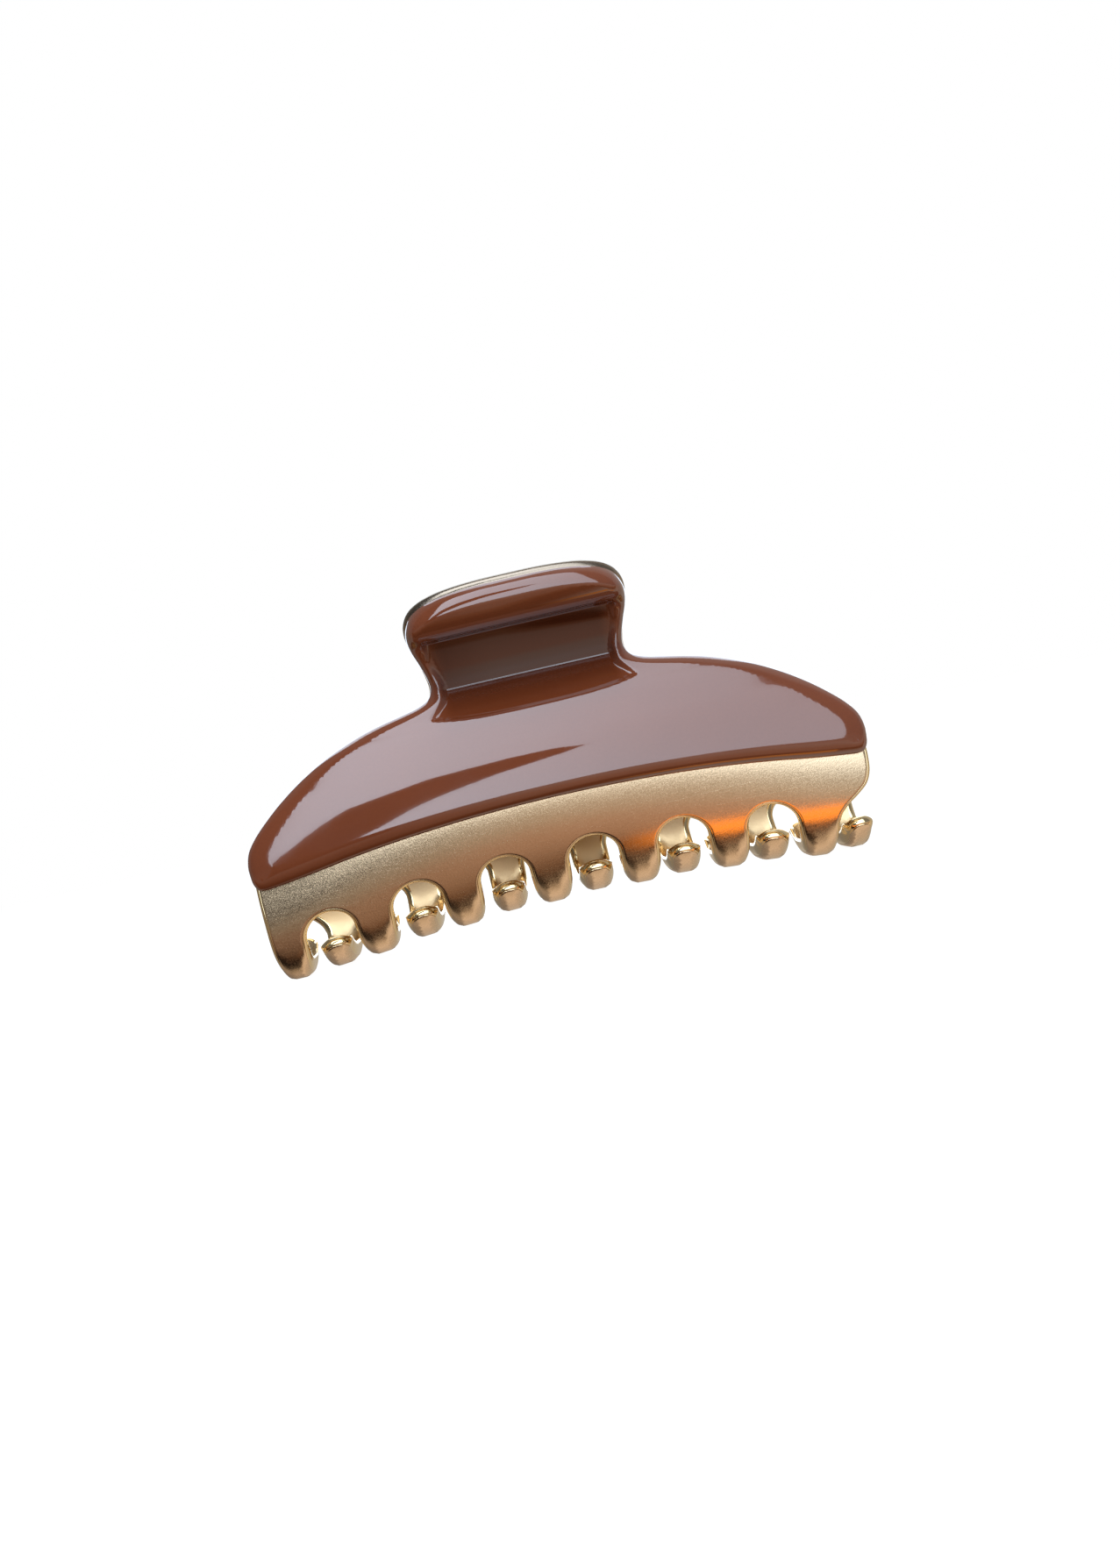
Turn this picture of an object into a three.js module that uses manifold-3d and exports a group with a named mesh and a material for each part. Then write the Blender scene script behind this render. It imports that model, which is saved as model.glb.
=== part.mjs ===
// Half-moon hair claw clip, closed. Millimetres, +Z up.
// X runs along the clip, the front jaw is on the -Y side, the thumb tabs point up.
// The origin is the centre of the footprint, at the height of the lowest teeth.
// Each jaw is a plate moulding: a flat pattern (x along the clip, s up the section)
// bent along one section curve, bowed along its length, with a cover on its outside.
import * as THREE from "three";
import { mergeVertices } from "three/addons/utils/BufferGeometryUtils.js";
import Module from "manifold-3d";

const wasm = await Module();
wasm.setup();

// ---------- driving dimensions (mm) ----------
const HALF_LENGTH = 50.1; // half the length of the jaw body
const PLATE = 2.1; // jaw plate thickness, fully rounded edges
const TEETH = 7; // teeth on each jaw
const PITCH = 14.57; // tooth pitch
const TOOTH_SHIFT = -PITCH / 4; // so that the two jaws' teeth interleave
const TOOTH_HALF_ROOT = 3.285; // half a tooth's width at its root
const TOOTH_HALF_TIP = 2.75; // half a tooth's width where the tip starts to round
const TIP_ROUND_S = -9.4; // section coordinate where the tip starts to round
const TIP_S = -13.0; // section coordinate of the tooth tip
const ARCH_TOP_S = 16.7; // top of the round gap between two teeth
const ARCH_R = PITCH / 2 - TOOTH_HALF_ROOT; // radius of that gap
const ARCH_S = ARCH_TOP_S - ARCH_R;
const TOP_S = 67.2; // top of the thumb tab
const FOOT_Y = -2.4; // the front jaw's teeth touch the table here
const FOOT_PAD = [-47.85, -46.3]; // the flat under the end tooth, along X
const CROWN = 1.7; // how far a tooth's side edges curl inwards at its foot
const BOW = 4.5; // how far the jaw's ends bend towards the other jaw
const RAISE = 2.83; // how much higher the middle teeth are than the end ones

const COVER_GAP = 0.35; // glue gap between jaw and cover
const COVER_T = 1.9; // cover thickness over the body
const COVER_EDGE = 3.0; // width of the cover's pillowed edge
const COVER_LIP = 0.25; // height of the cover's straight rim
const COVER_LOW_S = 25.8; // cover's lower edge, at the middle
const COVER_LOW_ARC = 0.00125; // and how it drops towards the ends (1/mm)
const COVER_INSET = 0.35; // cover outline inside the jaw outline

const HINGE_Z = 39.0; // hinge axis above the table
const BARREL_R = 3.3; // hinge lugs
const BORE_R = 1.25;
const PIN_R = 1.0;
const LUGS = [[-11, -8.05], [4.65, 7.6]]; // the front jaw's two lugs along X
const PIN_HALF = 11.35; // half the pin's length between its heads
const HEAD_R = 1.75;
const HEAD_T = 0.8;
const WIRE_R = 0.6; // spring wire
const COIL_R = 2.25; // spring coil, mean radius
const COIL_HALF = 3.55; // half the length of the coil, on wire centres
const COIL_TURNS = 4.75;
const LEG = 13.0; // spring leg length

// ---------- section curve ----------
// Curvature of the outer face, linear between these knots; s = 0 is the middle of the foot's flat.
const KNOT_S = [-13.0, -3.0, -1.2, 1.2, 3.5, 13, 25, 35, 43, 50, 57, 63, 70];
const KNOT_K = [-0.077, -0.077, 0, 0, -0.15, -0.04, -0.0212, -0.0873, 0.0341, 0.1146, 0.0634, -0.0104, -0.037];
const DU = 0.05;
const section = (() => {
  const n = Math.round((KNOT_S.at(-1) - KNOT_S[0]) / DU);
  const kap = (s) => {
    let i = 0;
    while (i < KNOT_S.length - 2 && s > KNOT_S[i + 1]) i++;
    const t = (s - KNOT_S[i]) / (KNOT_S[i + 1] - KNOT_S[i]);
    return KNOT_K[i] + (KNOT_K[i + 1] - KNOT_K[i]) * Math.min(1, Math.max(0, t));
  };
  const th = [0], y = [0], z = [0];
  for (let i = 1; i <= n; i++) {
    const a = KNOT_S[0] + (i - 1) * DU, b = a + DU;
    th.push(th[i - 1] + ((kap(a) + kap(b)) / 2) * DU);
  }
  const i0 = Math.round(-KNOT_S[0] / DU), t0 = th[i0];
  for (let i = 0; i <= n; i++) th[i] += Math.PI - t0;
  for (let i = 1; i <= n; i++) {
    y.push(y[i - 1] + ((Math.cos(th[i]) + Math.cos(th[i - 1])) / 2) * DU);
    z.push(z[i - 1] + ((Math.sin(th[i]) + Math.sin(th[i - 1])) / 2) * DU);
  }
  const y0 = y[i0], z0 = z[i0];
  return { n, y: y.map((v) => v - y0 + FOOT_Y), z: z.map((v) => v - z0) };
})();
const smooth = (t) => {
  t = Math.min(1, Math.max(0, t));
  return t * t * (3 - 2 * t);
};
// How much the teeth are raised at x: a parabola that levels off at the end teeth.
function raise(x) {
  x = Math.abs(x);
  const k = 2.45 / 1512, c = 2.45 - k * 38 * 38, g = 2 * k * 38;
  const t = Math.min(1, Math.max(0, (x - 38) / 8));
  return (x < 38 ? 2.45 - k * x * x : c - g * 8 * (t - (t * t) / 2)) - (c - g * 4);
}
function base(x, s) {
  const f = Math.min(section.n - 1e-9, Math.max(0, (s - KNOT_S[0]) / DU)), i = Math.floor(f), t = f - i;
  const over = s - Math.min(KNOT_S.at(-1), Math.max(KNOT_S[0], s));
  let y = section.y[i] * (1 - t) + section.y[i + 1] * t, z = section.z[i] * (1 - t) + section.z[i + 1] * t;
  if (over) {
    y += ((section.y[i + 1] - section.y[i]) / DU) * over;
    z += ((section.z[i + 1] - section.z[i]) / DU) * over;
  }
  y += BOW * (x / 50) ** 2 * smooth((s - 2) / 34);
  z += raise(x) * (1 - smooth((s - 12) / 28));
  return [x, y, z];
}
// The point at (x, s) on the front jaw's outer face, moved out along the normal by n.
function bend(x, s, n) {
  const e = 0.01, a = base(x + e, s), b = base(x - e, s), c = base(x, s + e), d = base(x, s - e), p = base(x, s);
  const u = [a[0] - b[0], a[1] - b[1], a[2] - b[2]], v = [c[0] - d[0], c[1] - d[1], c[2] - d[2]];
  const N = [u[1] * v[2] - u[2] * v[1], u[2] * v[0] - u[0] * v[2], u[0] * v[1] - u[1] * v[0]];
  const L = Math.hypot(...N);
  return p.map((q, i) => q + (N[i] / L) * n);
}

// ---------- flat patterns ----------
// Resamples a polyline at about the given step, keeping its ends out of the list's tail.
function resample(pts, step) {
  const out = [];
  for (let i = 0; i + 1 < pts.length; i++) {
    const [a, b] = [pts[i], pts[i + 1]], L = Math.hypot(b[0] - a[0], b[1] - a[1]), n = Math.max(1, Math.round(L / step));
    for (let j = 0; j < n; j++) out.push([a[0] + ((b[0] - a[0]) * j) / n, a[1] + ((b[1] - a[1]) * j) / n]);
  }
  return out;
}
// A smooth curve through the given points, as a list without its last point.
function spline(pts, step) {
  const c = new THREE.CatmullRomCurve3(pts.map(([x, s]) => new THREE.Vector3(x, s, 0)), false, "centripetal");
  const n = Math.max(2, Math.round(c.getLength() / step));
  return c.getSpacedPoints(n).slice(0, n).map((p) => [p.x, p.y]);
}
// Right half of the shoulder and thumb tab, from the end of the body up to the top.
const SHOULDER = [[50.1, 27.2], [49.6, 29.2], [48.2, 31.3], [45.4, 34.1], [42.4, 36.7], [39.2, 39.2], [35.8, 41.6], [32.2, 43.7], [28.6, 45.4], [25, 46.6], [21.4, 47.5], [18.6, 48.3], [16.9, 49.3], [16.3, 50.8], [16.5, 52.6], [17.2, 55.2], [17.95, 57.8], [18.25, 60], [17.95, 62], [16.9, 63.9], [15.1, 65.3], [12.4, 66.3], [9.2, 66.85], [5, 67.15], [0, TOP_S]];
const shoulderLeft = SHOULDER.slice().reverse().map(([x, s]) => [-x, s]);
// Right end of the jaw below the shoulder: the body curves in to the last tooth.
const RIGHT_END = [[TOOTH_SHIFT + 3 * PITCH + TOOTH_HALF_ROOT - 0.02, 9.4], [43.5, 11.3], [44.1, 13.0], [45.3, 14.5], [47.2, 16.0], [48.9, 17.6], [49.8, 19.6], [50.1, 22], [50.1, 24.6], [50.1, 27.2]];
const toothX = (i) => TOOTH_SHIFT + (i - (TEETH - 1) / 2) * PITCH;

function frameOutline(step, arcs) {
  const P = [];
  const tip = (xl, xr) => {
    const c = (xl + xr) / 2, h = (xr - xl) / 2, n = arcs;
    for (let j = 0; j <= n; j++) {
      const a = Math.PI * (1 + j / n), co = Math.cos(a), si = Math.sin(a), e = 2 / 2.5;
      P.push([c + h * Math.sign(co) * Math.abs(co) ** e, TIP_ROUND_S + (TIP_ROUND_S - TIP_S) * -1 * Math.abs(si) ** e]);
    }
  };
  for (let i = 0; i < TEETH; i++) {
    const c = toothX(i), first = i === 0, last = i === TEETH - 1;
    const xl = first ? -49.55 : c - TOOTH_HALF_TIP, xr = c + TOOTH_HALF_TIP;
    if (first) P.push(...resample([[-50.0, 14], [-49.75, 6], [xl, TIP_ROUND_S]], step));
    else P.push(...resample([[c - TOOTH_HALF_ROOT, ARCH_S], [xl, TIP_ROUND_S]], step));
    tip(xl, xr);
    P.pop();
    if (last) {
      P.push(...resample([[xr, TIP_ROUND_S], RIGHT_END[0]], step));
      P.push(...spline(RIGHT_END, step));
    } else {
      P.push(...resample([[xr, TIP_ROUND_S], [c + TOOTH_HALF_ROOT, ARCH_S]], step));
      const m = c + PITCH / 2;
      for (let j = 0; j < arcs + 2; j++) {
        const a = Math.PI * (1 - j / (arcs + 2));
        P.push([m + ARCH_R * Math.cos(a), ARCH_S + ARCH_R * Math.sin(a)]);
      }
    }
  }
  P.push(...spline(SHOULDER, step), ...spline(shoulderLeft, step));
  P.push(...resample([[-50.1, 27.2], [-50.1, 21], [-50.0, 14]], step));
  return P;
}
const coverLow = (x) => COVER_LOW_S - COVER_LOW_ARC * x * x;
function coverOutline(step) {
  const r = 2.0, xe = 50.1, P = [], low = [];
  for (let x = -(xe - r * 1.15); x <= xe - r * 1.15 + 1e-6; x += (2 * (xe - r * 1.15)) / Math.round(90 / step)) low.push([x, coverLow(x)]);
  P.push(...low);
  const sh = SHOULDER.map(([x, s], i) => {
    // inside the jaw outline along its own normal, except at the body's ends
    const a = SHOULDER[Math.max(0, i - 1)], b = SHOULDER[Math.min(SHOULDER.length - 1, i + 1)];
    const t = [b[0] - a[0], b[1] - a[1]], L = Math.hypot(...t), d = COVER_INSET * smooth(i / 4);
    return [x - (t[1] / L) * d, s + (t[0] / L) * d];
  });
  sh[sh.length - 1][0] = 0;
  const corner = [[xe - r * 1.15, coverLow(xe - r * 1.15)], [xe - 1.0, coverLow(xe) + 0.45], [xe - 0.25, coverLow(xe) + 1.5], [xe, coverLow(xe) + 3.0], ...sh];
  P.pop();
  P.push(...spline(corner, step));
  P.push(...spline(corner.slice().reverse().map(([x, s]) => [-x, s]), step));
  return P;
}

// ---------- triangulation ----------
const area2 = (a, b, c) => (b[0] - a[0]) * (c[1] - a[1]) - (b[1] - a[1]) * (c[0] - a[0]);
function delaunay(pts) {
  const n = pts.length, P = pts.map(([x, s], i) => [x + 1e-5 * Math.sin(i * 12.9898), s + 1e-5 * Math.cos(i * 78.233)]);
  P.push([-9000, -5000], [9000, -5000], [0, 9000]);
  const circ = (a, b, c) => {
    const [A, B, C] = [P[a], P[b], P[c]], d = 2 * area2(A, B, C);
    const sa = A[0] ** 2 + A[1] ** 2, sb = B[0] ** 2 + B[1] ** 2, sc = C[0] ** 2 + C[1] ** 2;
    const x = (sa * (B[1] - C[1]) + sb * (C[1] - A[1]) + sc * (A[1] - B[1])) / d;
    const y = (sa * (C[0] - B[0]) + sb * (A[0] - C[0]) + sc * (B[0] - A[0])) / d;
    return [a, b, c, x, y, (A[0] - x) ** 2 + (A[1] - y) ** 2];
  };
  let T = [circ(n, n + 1, n + 2)];
  for (let i = 0; i < n; i++) {
    const [px, py] = P[i], keep = [], edge = new Map();
    for (const t of T) {
      if ((px - t[3]) ** 2 + (py - t[4]) ** 2 < t[5]) {
        for (const [a, b] of [[t[0], t[1]], [t[1], t[2]], [t[2], t[0]]]) {
          if (edge.has(b + "_" + a)) edge.delete(b + "_" + a);
          else edge.set(a + "_" + b, [a, b]);
        }
      } else keep.push(t);
    }
    for (const [a, b] of edge.values()) keep.push(circ(a, b, i));
    T = keep;
  }
  return T.filter((t) => t[0] < n && t[1] < n && t[2] < n).map((t) => t.slice(0, 3));
}
function inside(poly, x, y) {
  let c = false;
  for (let i = 0, j = poly.length - 1; i < poly.length; j = i++) {
    const [a, b] = [poly[i], poly[j]];
    if (a[1] > y !== b[1] > y && x < ((b[0] - a[0]) * (y - a[1])) / (b[1] - a[1]) + a[0]) c = !c;
  }
  return c;
}
function edgeDistance(poly, x, y) {
  let m = Infinity;
  for (let i = 0, j = poly.length - 1; i < poly.length; j = i++) {
    const [a, b] = [poly[j], poly[i]], dx = b[0] - a[0], dy = b[1] - a[1];
    const t = Math.min(1, Math.max(0, ((x - a[0]) * dx + (y - a[1]) * dy) / (dx * dx + dy * dy)));
    m = Math.min(m, Math.hypot(x - a[0] - t * dx, y - a[1] - t * dy));
  }
  return m;
}
// The outline moved in by d, without the points that would come too close to another part of it.
function inset(poly, d, spacing) {
  const out = [];
  poly.forEach((p, i) => {
    const a = poly[(i + poly.length - 1) % poly.length], b = poly[(i + 1) % poly.length];
    const tx = b[0] - a[0], ty = b[1] - a[1], L = Math.hypot(tx, ty), q = [p[0] - (ty / L) * d, p[1] + (tx / L) * d];
    if (edgeDistance(poly, ...q) < 0.97 * d || !inside(poly, ...q)) return;
    if (out.length && out.some((o) => Math.hypot(o[0] - q[0], o[1] - q[1]) < spacing)) return;
    out.push(q);
  });
  return out;
}
function fill(poly, fixed, stepX, stepS, clear) {
  const out = [];
  const xs = poly.map((p) => p[0]), ss = poly.map((p) => p[1]);
  const [x0, x1, s0, s1] = [Math.min(...xs), Math.max(...xs), Math.min(...ss), Math.max(...ss)];
  let row = 0;
  for (let s = s0 + stepS / 2; s < s1; s += stepS, row++)
    for (let x = x0 + (row % 2 ? 0.5 : 0.25) * stepX; x < x1; x += stepX)
      if (inside(poly, x, s) && edgeDistance(poly, x, s) > clear && fixed.every((f) => Math.hypot(f[0] - x, f[1] - s) > 0.6 * Math.min(stepX, stepS))) out.push([x, s]);
  return out;
}
function trianglesIn(poly, pts) {
  return delaunay(pts).filter((t) => {
    const [a, b, c] = t.map((i) => pts[i]);
    return area2(a, b, c) > 1e-9 && inside(poly, (a[0] + b[0] + c[0]) / 3, (a[1] + b[1] + c[1]) / 3);
  });
}
function solid(verts, tris) {
  return new wasm.Manifold(new wasm.Mesh({ numProp: 3, vertProperties: new Float32Array(verts.flat()), triVerts: new Uint32Array(tris.flat()) }));
}
function solidOf(geometry) {
  const g = geometry.clone();
  g.deleteAttribute("normal");
  g.deleteAttribute("uv");
  const m = mergeVertices(g, 1e-4);
  return new wasm.Manifold(new wasm.Mesh({ numProp: 3, vertProperties: m.attributes.position.array, triVerts: new Uint32Array(m.index.array) }));
}
function geometryOf(man) {
  const m = man.getMesh(), v = new Float32Array(m.numVert * 3);
  for (let i = 0; i < m.numVert; i++) v.set(m.vertProperties.subarray(i * m.numProp, i * m.numProp + 3), i * 3);
  const g = new THREE.BufferGeometry().setAttribute("position", new THREE.BufferAttribute(v, 3)).setIndex(new THREE.BufferAttribute(new Uint32Array(m.triVerts), 1));
  g.computeVertexNormals();
  return g;
}

// ---------- jaw plate ----------
// How far the plate is moved inwards at (x, s): the teeth are crowned across their width near the foot.
function crown(x, s) {
  const i = Math.min(TEETH - 1, Math.max(0, Math.round((x - toothX(0)) / PITCH)));
  const left = i === 0 ? -49.55 : toothX(i) - TOOTH_HALF_TIP, right = toothX(i) + TOOTH_HALF_TIP;
  const half = (right - left) / 2 + (TOOTH_HALF_ROOT - TOOTH_HALF_TIP) * Math.min(1, Math.max(0, (s - TIP_ROUND_S) / (ARCH_S - TIP_ROUND_S)));
  const u = Math.min(1.05, Math.abs(x - (left + right) / 2) / half);
  return CROWN * smooth((s + 13.2) / 4.5) * (1 - smooth((s - 4) / 9)) * (Math.max(0, u - 0.3) / 0.7) ** 2;
}
function jawPlate() {
  const out = frameOutline(2.7, 6), r = PLATE / 2, ring = inset(out, 0.75, 0.9);
  // the end tooth's foot has a true flat, given by its own corner points
  const pad = [FOOT_PAD[0], (FOOT_PAD[0] + FOOT_PAD[1]) / 2, FOOT_PAD[1]].flatMap((x) => [[x, -1.2], [x, 1.2]]);
  const ringed = ring.filter((p) => !(p[0] < FOOT_PAD[1] + 0.7 && Math.abs(p[1]) < 1.7 && p[0] > FOOT_PAD[0] - 0.7) || p[0] < FOOT_PAD[0] - 0.4 || p[0] > FOOT_PAD[1] + 0.4);
  const pts = [...out, ...ringed, ...pad];
  for (let i = 0; i < TEETH; i++)
    for (const s of [-8, -5.4, -2.8, 0.4, 3.2, 6, 8.8]) if (i > 0 || Math.abs(s) > 2) pts.push([i ? toothX(i) : (FOOT_PAD[0] + FOOT_PAD[1]) / 2, s]);
  pts.push(...fill(out, pts, 6.5, 2.8, 2.2).filter((p) => p[1] > 10.5));
  const T = trianglesIn(out, pts), B = out.length, nV = pts.length;
  // the outline itself lies halfway through the plate; every other point has one vertex on each face
  const depth = pts.map((p, i) => (i < B ? r : 0));
  const V = pts.map((p, i) => bend(p[0], p[1], -depth[i] - crown(...p)));
  const idx = pts.map((_, i) => (i < B ? i : -1));
  for (let i = B; i < nV; i++) {
    idx[i] = V.length;
    V.push(bend(pts[i][0], pts[i][1], -PLATE + depth[i] - crown(...pts[i])));
  }
  const F = [...T, ...T.map(([a, b, c]) => [idx[a], idx[c], idx[b]])];
  return solid(V, F);
}
// One hinge lug: a barrel on the axis and a web back into the plate.
function lug(x0, x1) {
  const pts = [], web = [[-7.2, HINGE_Z + 3.6], [-8.6, HINGE_Z - 3.6]];
  // tangents from the web's corners to the barrel
  const tangent = (p, sign) => {
    const dx = -p[0], dz = HINGE_Z - p[1], d = Math.hypot(dx, dz), a = Math.atan2(dz, dx), b = Math.acos(BARREL_R / d);
    return a + Math.PI + sign * b;
  };
  const a0 = tangent(web[1], 1), a1 = tangent(web[0], -1) + (tangent(web[0], -1) < tangent(web[1], 1) ? 2 * Math.PI : 0), n = 16;
  pts.push(new THREE.Vector2(...web[0]), new THREE.Vector2(...web[1]));
  for (let i = 0; i <= n; i++) {
    const a = a0 + ((a1 - a0) * i) / n;
    pts.push(new THREE.Vector2(BARREL_R * Math.cos(a), HINGE_Z + BARREL_R * Math.sin(a)));
  }
  const g = new THREE.ExtrudeGeometry(new THREE.Shape(pts), { depth: x1 - x0, bevelEnabled: false, steps: 1 });
  // shape plane (y, z), extruded along x
  g.applyMatrix4(new THREE.Matrix4().makeBasis(new THREE.Vector3(0, 1, 0), new THREE.Vector3(0, 0, 1), new THREE.Vector3(1, 0, 0)).setPosition(x0, 0, 0));
  return solidOf(g);
}
function rodX(r, x0, x1, n) {
  const g = new THREE.CylinderGeometry(r, r, x1 - x0, n);
  g.rotateZ(Math.PI / 2);
  g.translate((x0 + x1) / 2, 0, HINGE_Z);
  return solidOf(g);
}
let jaw = jawPlate();
for (const [a, b] of LUGS) jaw = jaw.add(lug(a, b));
for (const [a, b] of LUGS) jaw = jaw.subtract(rodX(BORE_R, a - 0.5, b + 0.5, 20));

// ---------- cover ----------
// The scoop in the thumb tab: 1 inside, 0 outside, with a crisp lower lip and softer sides.
const ridgeS = (x) => 41.3 + 1.6 * (Math.abs(x) / 16) ** 3;
function scoop(x, s) {
  const side = 1 - smooth((Math.abs(x) - (12.9 + 3.0 * (1 - smooth((s - 42) / 6.5)) + 1.3 * smooth((s - 50) / 7))) / 2.2);
  const low = smooth((s - ridgeS(x)) / 1.3), top = 1 - smooth((s - 58.9) / 1.9);
  return side * low * top;
}
// The scoop's floor up the section, as [s, thickness, slope]: a ramp down into a valley at the neck, and a rise behind it.
const SCOOP_FLOOR = [[42.6, 2.03, -0.09], [44, 1.89, -0.1], [45, 1.775, -0.14], [46, 1.61, -0.19], [47, 1.4, -0.235], [48, 1.14, -0.285], [49, 0.83, -0.36], [49.8, 0.52, -0.43], [49.86, 0.515, 0.33], [50.6, 0.71, 0.22], [51.6, 0.88, 0.14], [53, 1.03, 0.08], [55, 1.14, 0.03], [58, 1.13, 0]];
function hermite(knots, s) {
  if (s <= knots[0][0]) return knots[0][1] + knots[0][2] * (s - knots[0][0]);
  if (s >= knots.at(-1)[0]) return knots.at(-1)[1];
  let i = 0;
  while (s > knots[i + 1][0]) i++;
  const [a, b] = [knots[i], knots[i + 1]], h = b[0] - a[0], t = (s - a[0]) / h;
  return a[1] * (2 * t ** 3 - 3 * t * t + 1) + a[2] * h * (t ** 3 - 2 * t * t + t) + b[1] * (3 * t * t - 2 * t ** 3) + b[2] * h * (t ** 3 - t * t);
}
// Thickness of the cover above the glue gap, away from its edges.
function coverThickness(x, s) {
  const body = COVER_T + 0.35 * smooth((s - 36) / 6);
  const bead = 3.0 - 2.25 * ((s - 63.3) / 6) ** 2;
  const tab = body + (bead - body) * smooth((s - 56.5) / 5);
  const floor = hermite(SCOOP_FLOOR, s);
  const k = scoop(x, s);
  return tab * (1 - k) + floor * k;
}
function coverEdge(d, s) {
  const w = COVER_EDGE * (1 - 0.45 * smooth((s - 57) / 6)), t = Math.min(1, d / w);
  return Math.sqrt(1 - (1 - t) ** 2);
}
function coverSolid() {
  const out = coverOutline(3.4), pts = [...out];
  const r1 = inset(out, 0.3 * COVER_EDGE, 1.6);
  pts.push(...r1);
  const r2 = inset(out, COVER_EDGE, 2.4).filter((p) => pts.every((q) => Math.hypot(p[0] - q[0], p[1] - q[1]) > 1.2));
  pts.push(...r2);
  const lines = [];
  for (let x = -14.4; x <= 14.41; x += 3.6) for (const d of [-0.2, 1.3]) lines.push([x, ridgeS(x) + d]);
  for (let x = -12; x <= 12.1; x += 4) for (const s of [58.9, 60.8, 63.2, 65.2]) lines.push([x, s]);
  for (const s of [45.4, 48, 49.83, 52.2, 54.6, 57]) for (const x of [-15.4, -12.4, -6.2, 0, 6.2, 12.4, 15.4]) lines.push([x, s]);
  for (const p of lines) if (inside(out, ...p) && edgeDistance(out, ...p) > 0.9 && pts.every((q) => Math.hypot(p[0] - q[0], p[1] - q[1]) > 0.8)) pts.push(p);
  pts.push(...fill(out, pts, 5.6, 3.8, COVER_EDGE + 1.2).filter((p) => p[1] < 39.5));
  const T = trianglesIn(out, pts), B = out.length;
  const low = COVER_GAP, V = [];
  pts.forEach((p, i) => V.push(bend(p[0], p[1], low + COVER_LIP + (i < B ? 0 : (coverThickness(...p) - COVER_LIP) * coverEdge(edgeDistance(out, ...p), p[1])))));
  const under = [...out, ...fill(out, out, 7, 2.8, 2.2)], U = trianglesIn(out, under), off = V.length;
  under.forEach((p) => V.push(bend(p[0], p[1], low)));
  const F = [...T, ...U.map(([a, b, c]) => [off + a, off + c, off + b])];
  for (let i = 0; i < B; i++) {
    const j = (i + 1) % B;
    F.push([i, off + i, off + j], [i, off + j, j]);
  }
  return solid(V, F);
}
const cover = coverSolid();

// ---------- hinge pin ----------
function pinGeometry() {
  const p = [[0, -PIN_HALF - HEAD_T], [HEAD_R * 0.72, -PIN_HALF - HEAD_T], [HEAD_R, -PIN_HALF - HEAD_T * 0.45], [HEAD_R, -PIN_HALF], [PIN_R, -PIN_HALF], [PIN_R, PIN_HALF], [HEAD_R, PIN_HALF], [HEAD_R, PIN_HALF + HEAD_T * 0.45], [HEAD_R * 0.72, PIN_HALF + HEAD_T], [0, PIN_HALF + HEAD_T]];
  const g = new THREE.LatheGeometry(p.map(([r, h]) => new THREE.Vector2(r, h)), 16);
  g.rotateZ(-Math.PI / 2);
  return g;
}

// ---------- torsion spring ----------
// The inner face of the front thumb tab, as (y, z) at section coordinate s, held clear by c.
function insideTab(s, c) {
  const p = bend(0, s, -PLATE - c);
  return [p[1], p[2] - HINGE_Z];
}
function springPoints() {
  const pts = [];
  // the front leg ends on the front tab, the back leg on the back tab
  const [ly, lz] = insideTab(63.0, WIRE_R + 0.35);
  const dist = Math.hypot(ly, lz), aim = Math.atan2(lz, ly), off = Math.acos(COIL_R / dist);
  // the leg leaves the coil on its tangent: the front leg from the side away from the front tab
  const aF = aim - off; // coil angle (from +y) where the front leg starts
  const start = [COIL_R * Math.cos(aF), COIL_R * Math.sin(aF)];
  for (let i = 6; i > 0; i--) pts.push([-COIL_HALF, start[0] + ((ly - start[0]) * i) / 6, start[1] + ((lz - start[1]) * i) / 6]);
  const aB = Math.PI - aF; // mirrored for the back leg
  let turn = aB - aF;
  // the coil turns from the front leg round to the back leg
  while (turn > -2 * Math.PI * (COIL_TURNS - 0.5)) turn -= 2 * Math.PI;
  const n = Math.round((Math.abs(turn) / (2 * Math.PI)) * 14);
  for (let i = 0; i <= n; i++) {
    const a = aF + (turn * i) / n;
    pts.push([-COIL_HALF + (2 * COIL_HALF * i) / n, COIL_R * Math.cos(a), COIL_R * Math.sin(a)]);
  }
  for (let i = 1; i <= 6; i++) pts.push([COIL_HALF, -start[0] + ((-ly + start[0]) * i) / 6, start[1] + ((lz - start[1]) * i) / 6]);
  return pts.map(([x, y, z]) => new THREE.Vector3(x, y, z));
}
function springGeometry() {
  const path = new THREE.CatmullRomCurve3(springPoints(), false, "centripetal");
  const ring = new THREE.Shape(Array.from({ length: 8 }, (_, i) => new THREE.Vector2(WIRE_R * Math.cos((i * Math.PI) / 4), WIRE_R * Math.sin((i * Math.PI) / 4))));
  return new THREE.ExtrudeGeometry(ring, { extrudePath: path, steps: 96, bevelEnabled: false });
}

// ---------- assembly ----------
const gold = new THREE.MeshStandardMaterial({ color: 0xd3b079, roughness: 0.4, metalness: 1 });
const brown = new THREE.MeshStandardMaterial({ color: 0x6e3b28, roughness: 0.12, metalness: 0 });
const steel = new THREE.MeshStandardMaterial({ color: 0xb9bcc0, roughness: 0.3, metalness: 1 });
const clip = new THREE.Group();
const frontJaw = new THREE.Group(), backJaw = new THREE.Group();
backJaw.rotation.z = Math.PI; // the back jaw is the same pair of mouldings, turned half a turn
clip.add(frontJaw, backJaw);
const add = (group, name, geometry, material) => {
  const m = new THREE.Mesh(geometry, material);
  m.name = name;
  group.add(m);
  return m;
};
add(frontJaw, "front_jaw_frame", geometryOf(jaw), gold);
add(frontJaw, "front_cover", geometryOf(cover), brown);
add(backJaw, "back_jaw_frame", geometryOf(jaw), gold);
add(backJaw, "back_cover", geometryOf(cover), brown);
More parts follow.
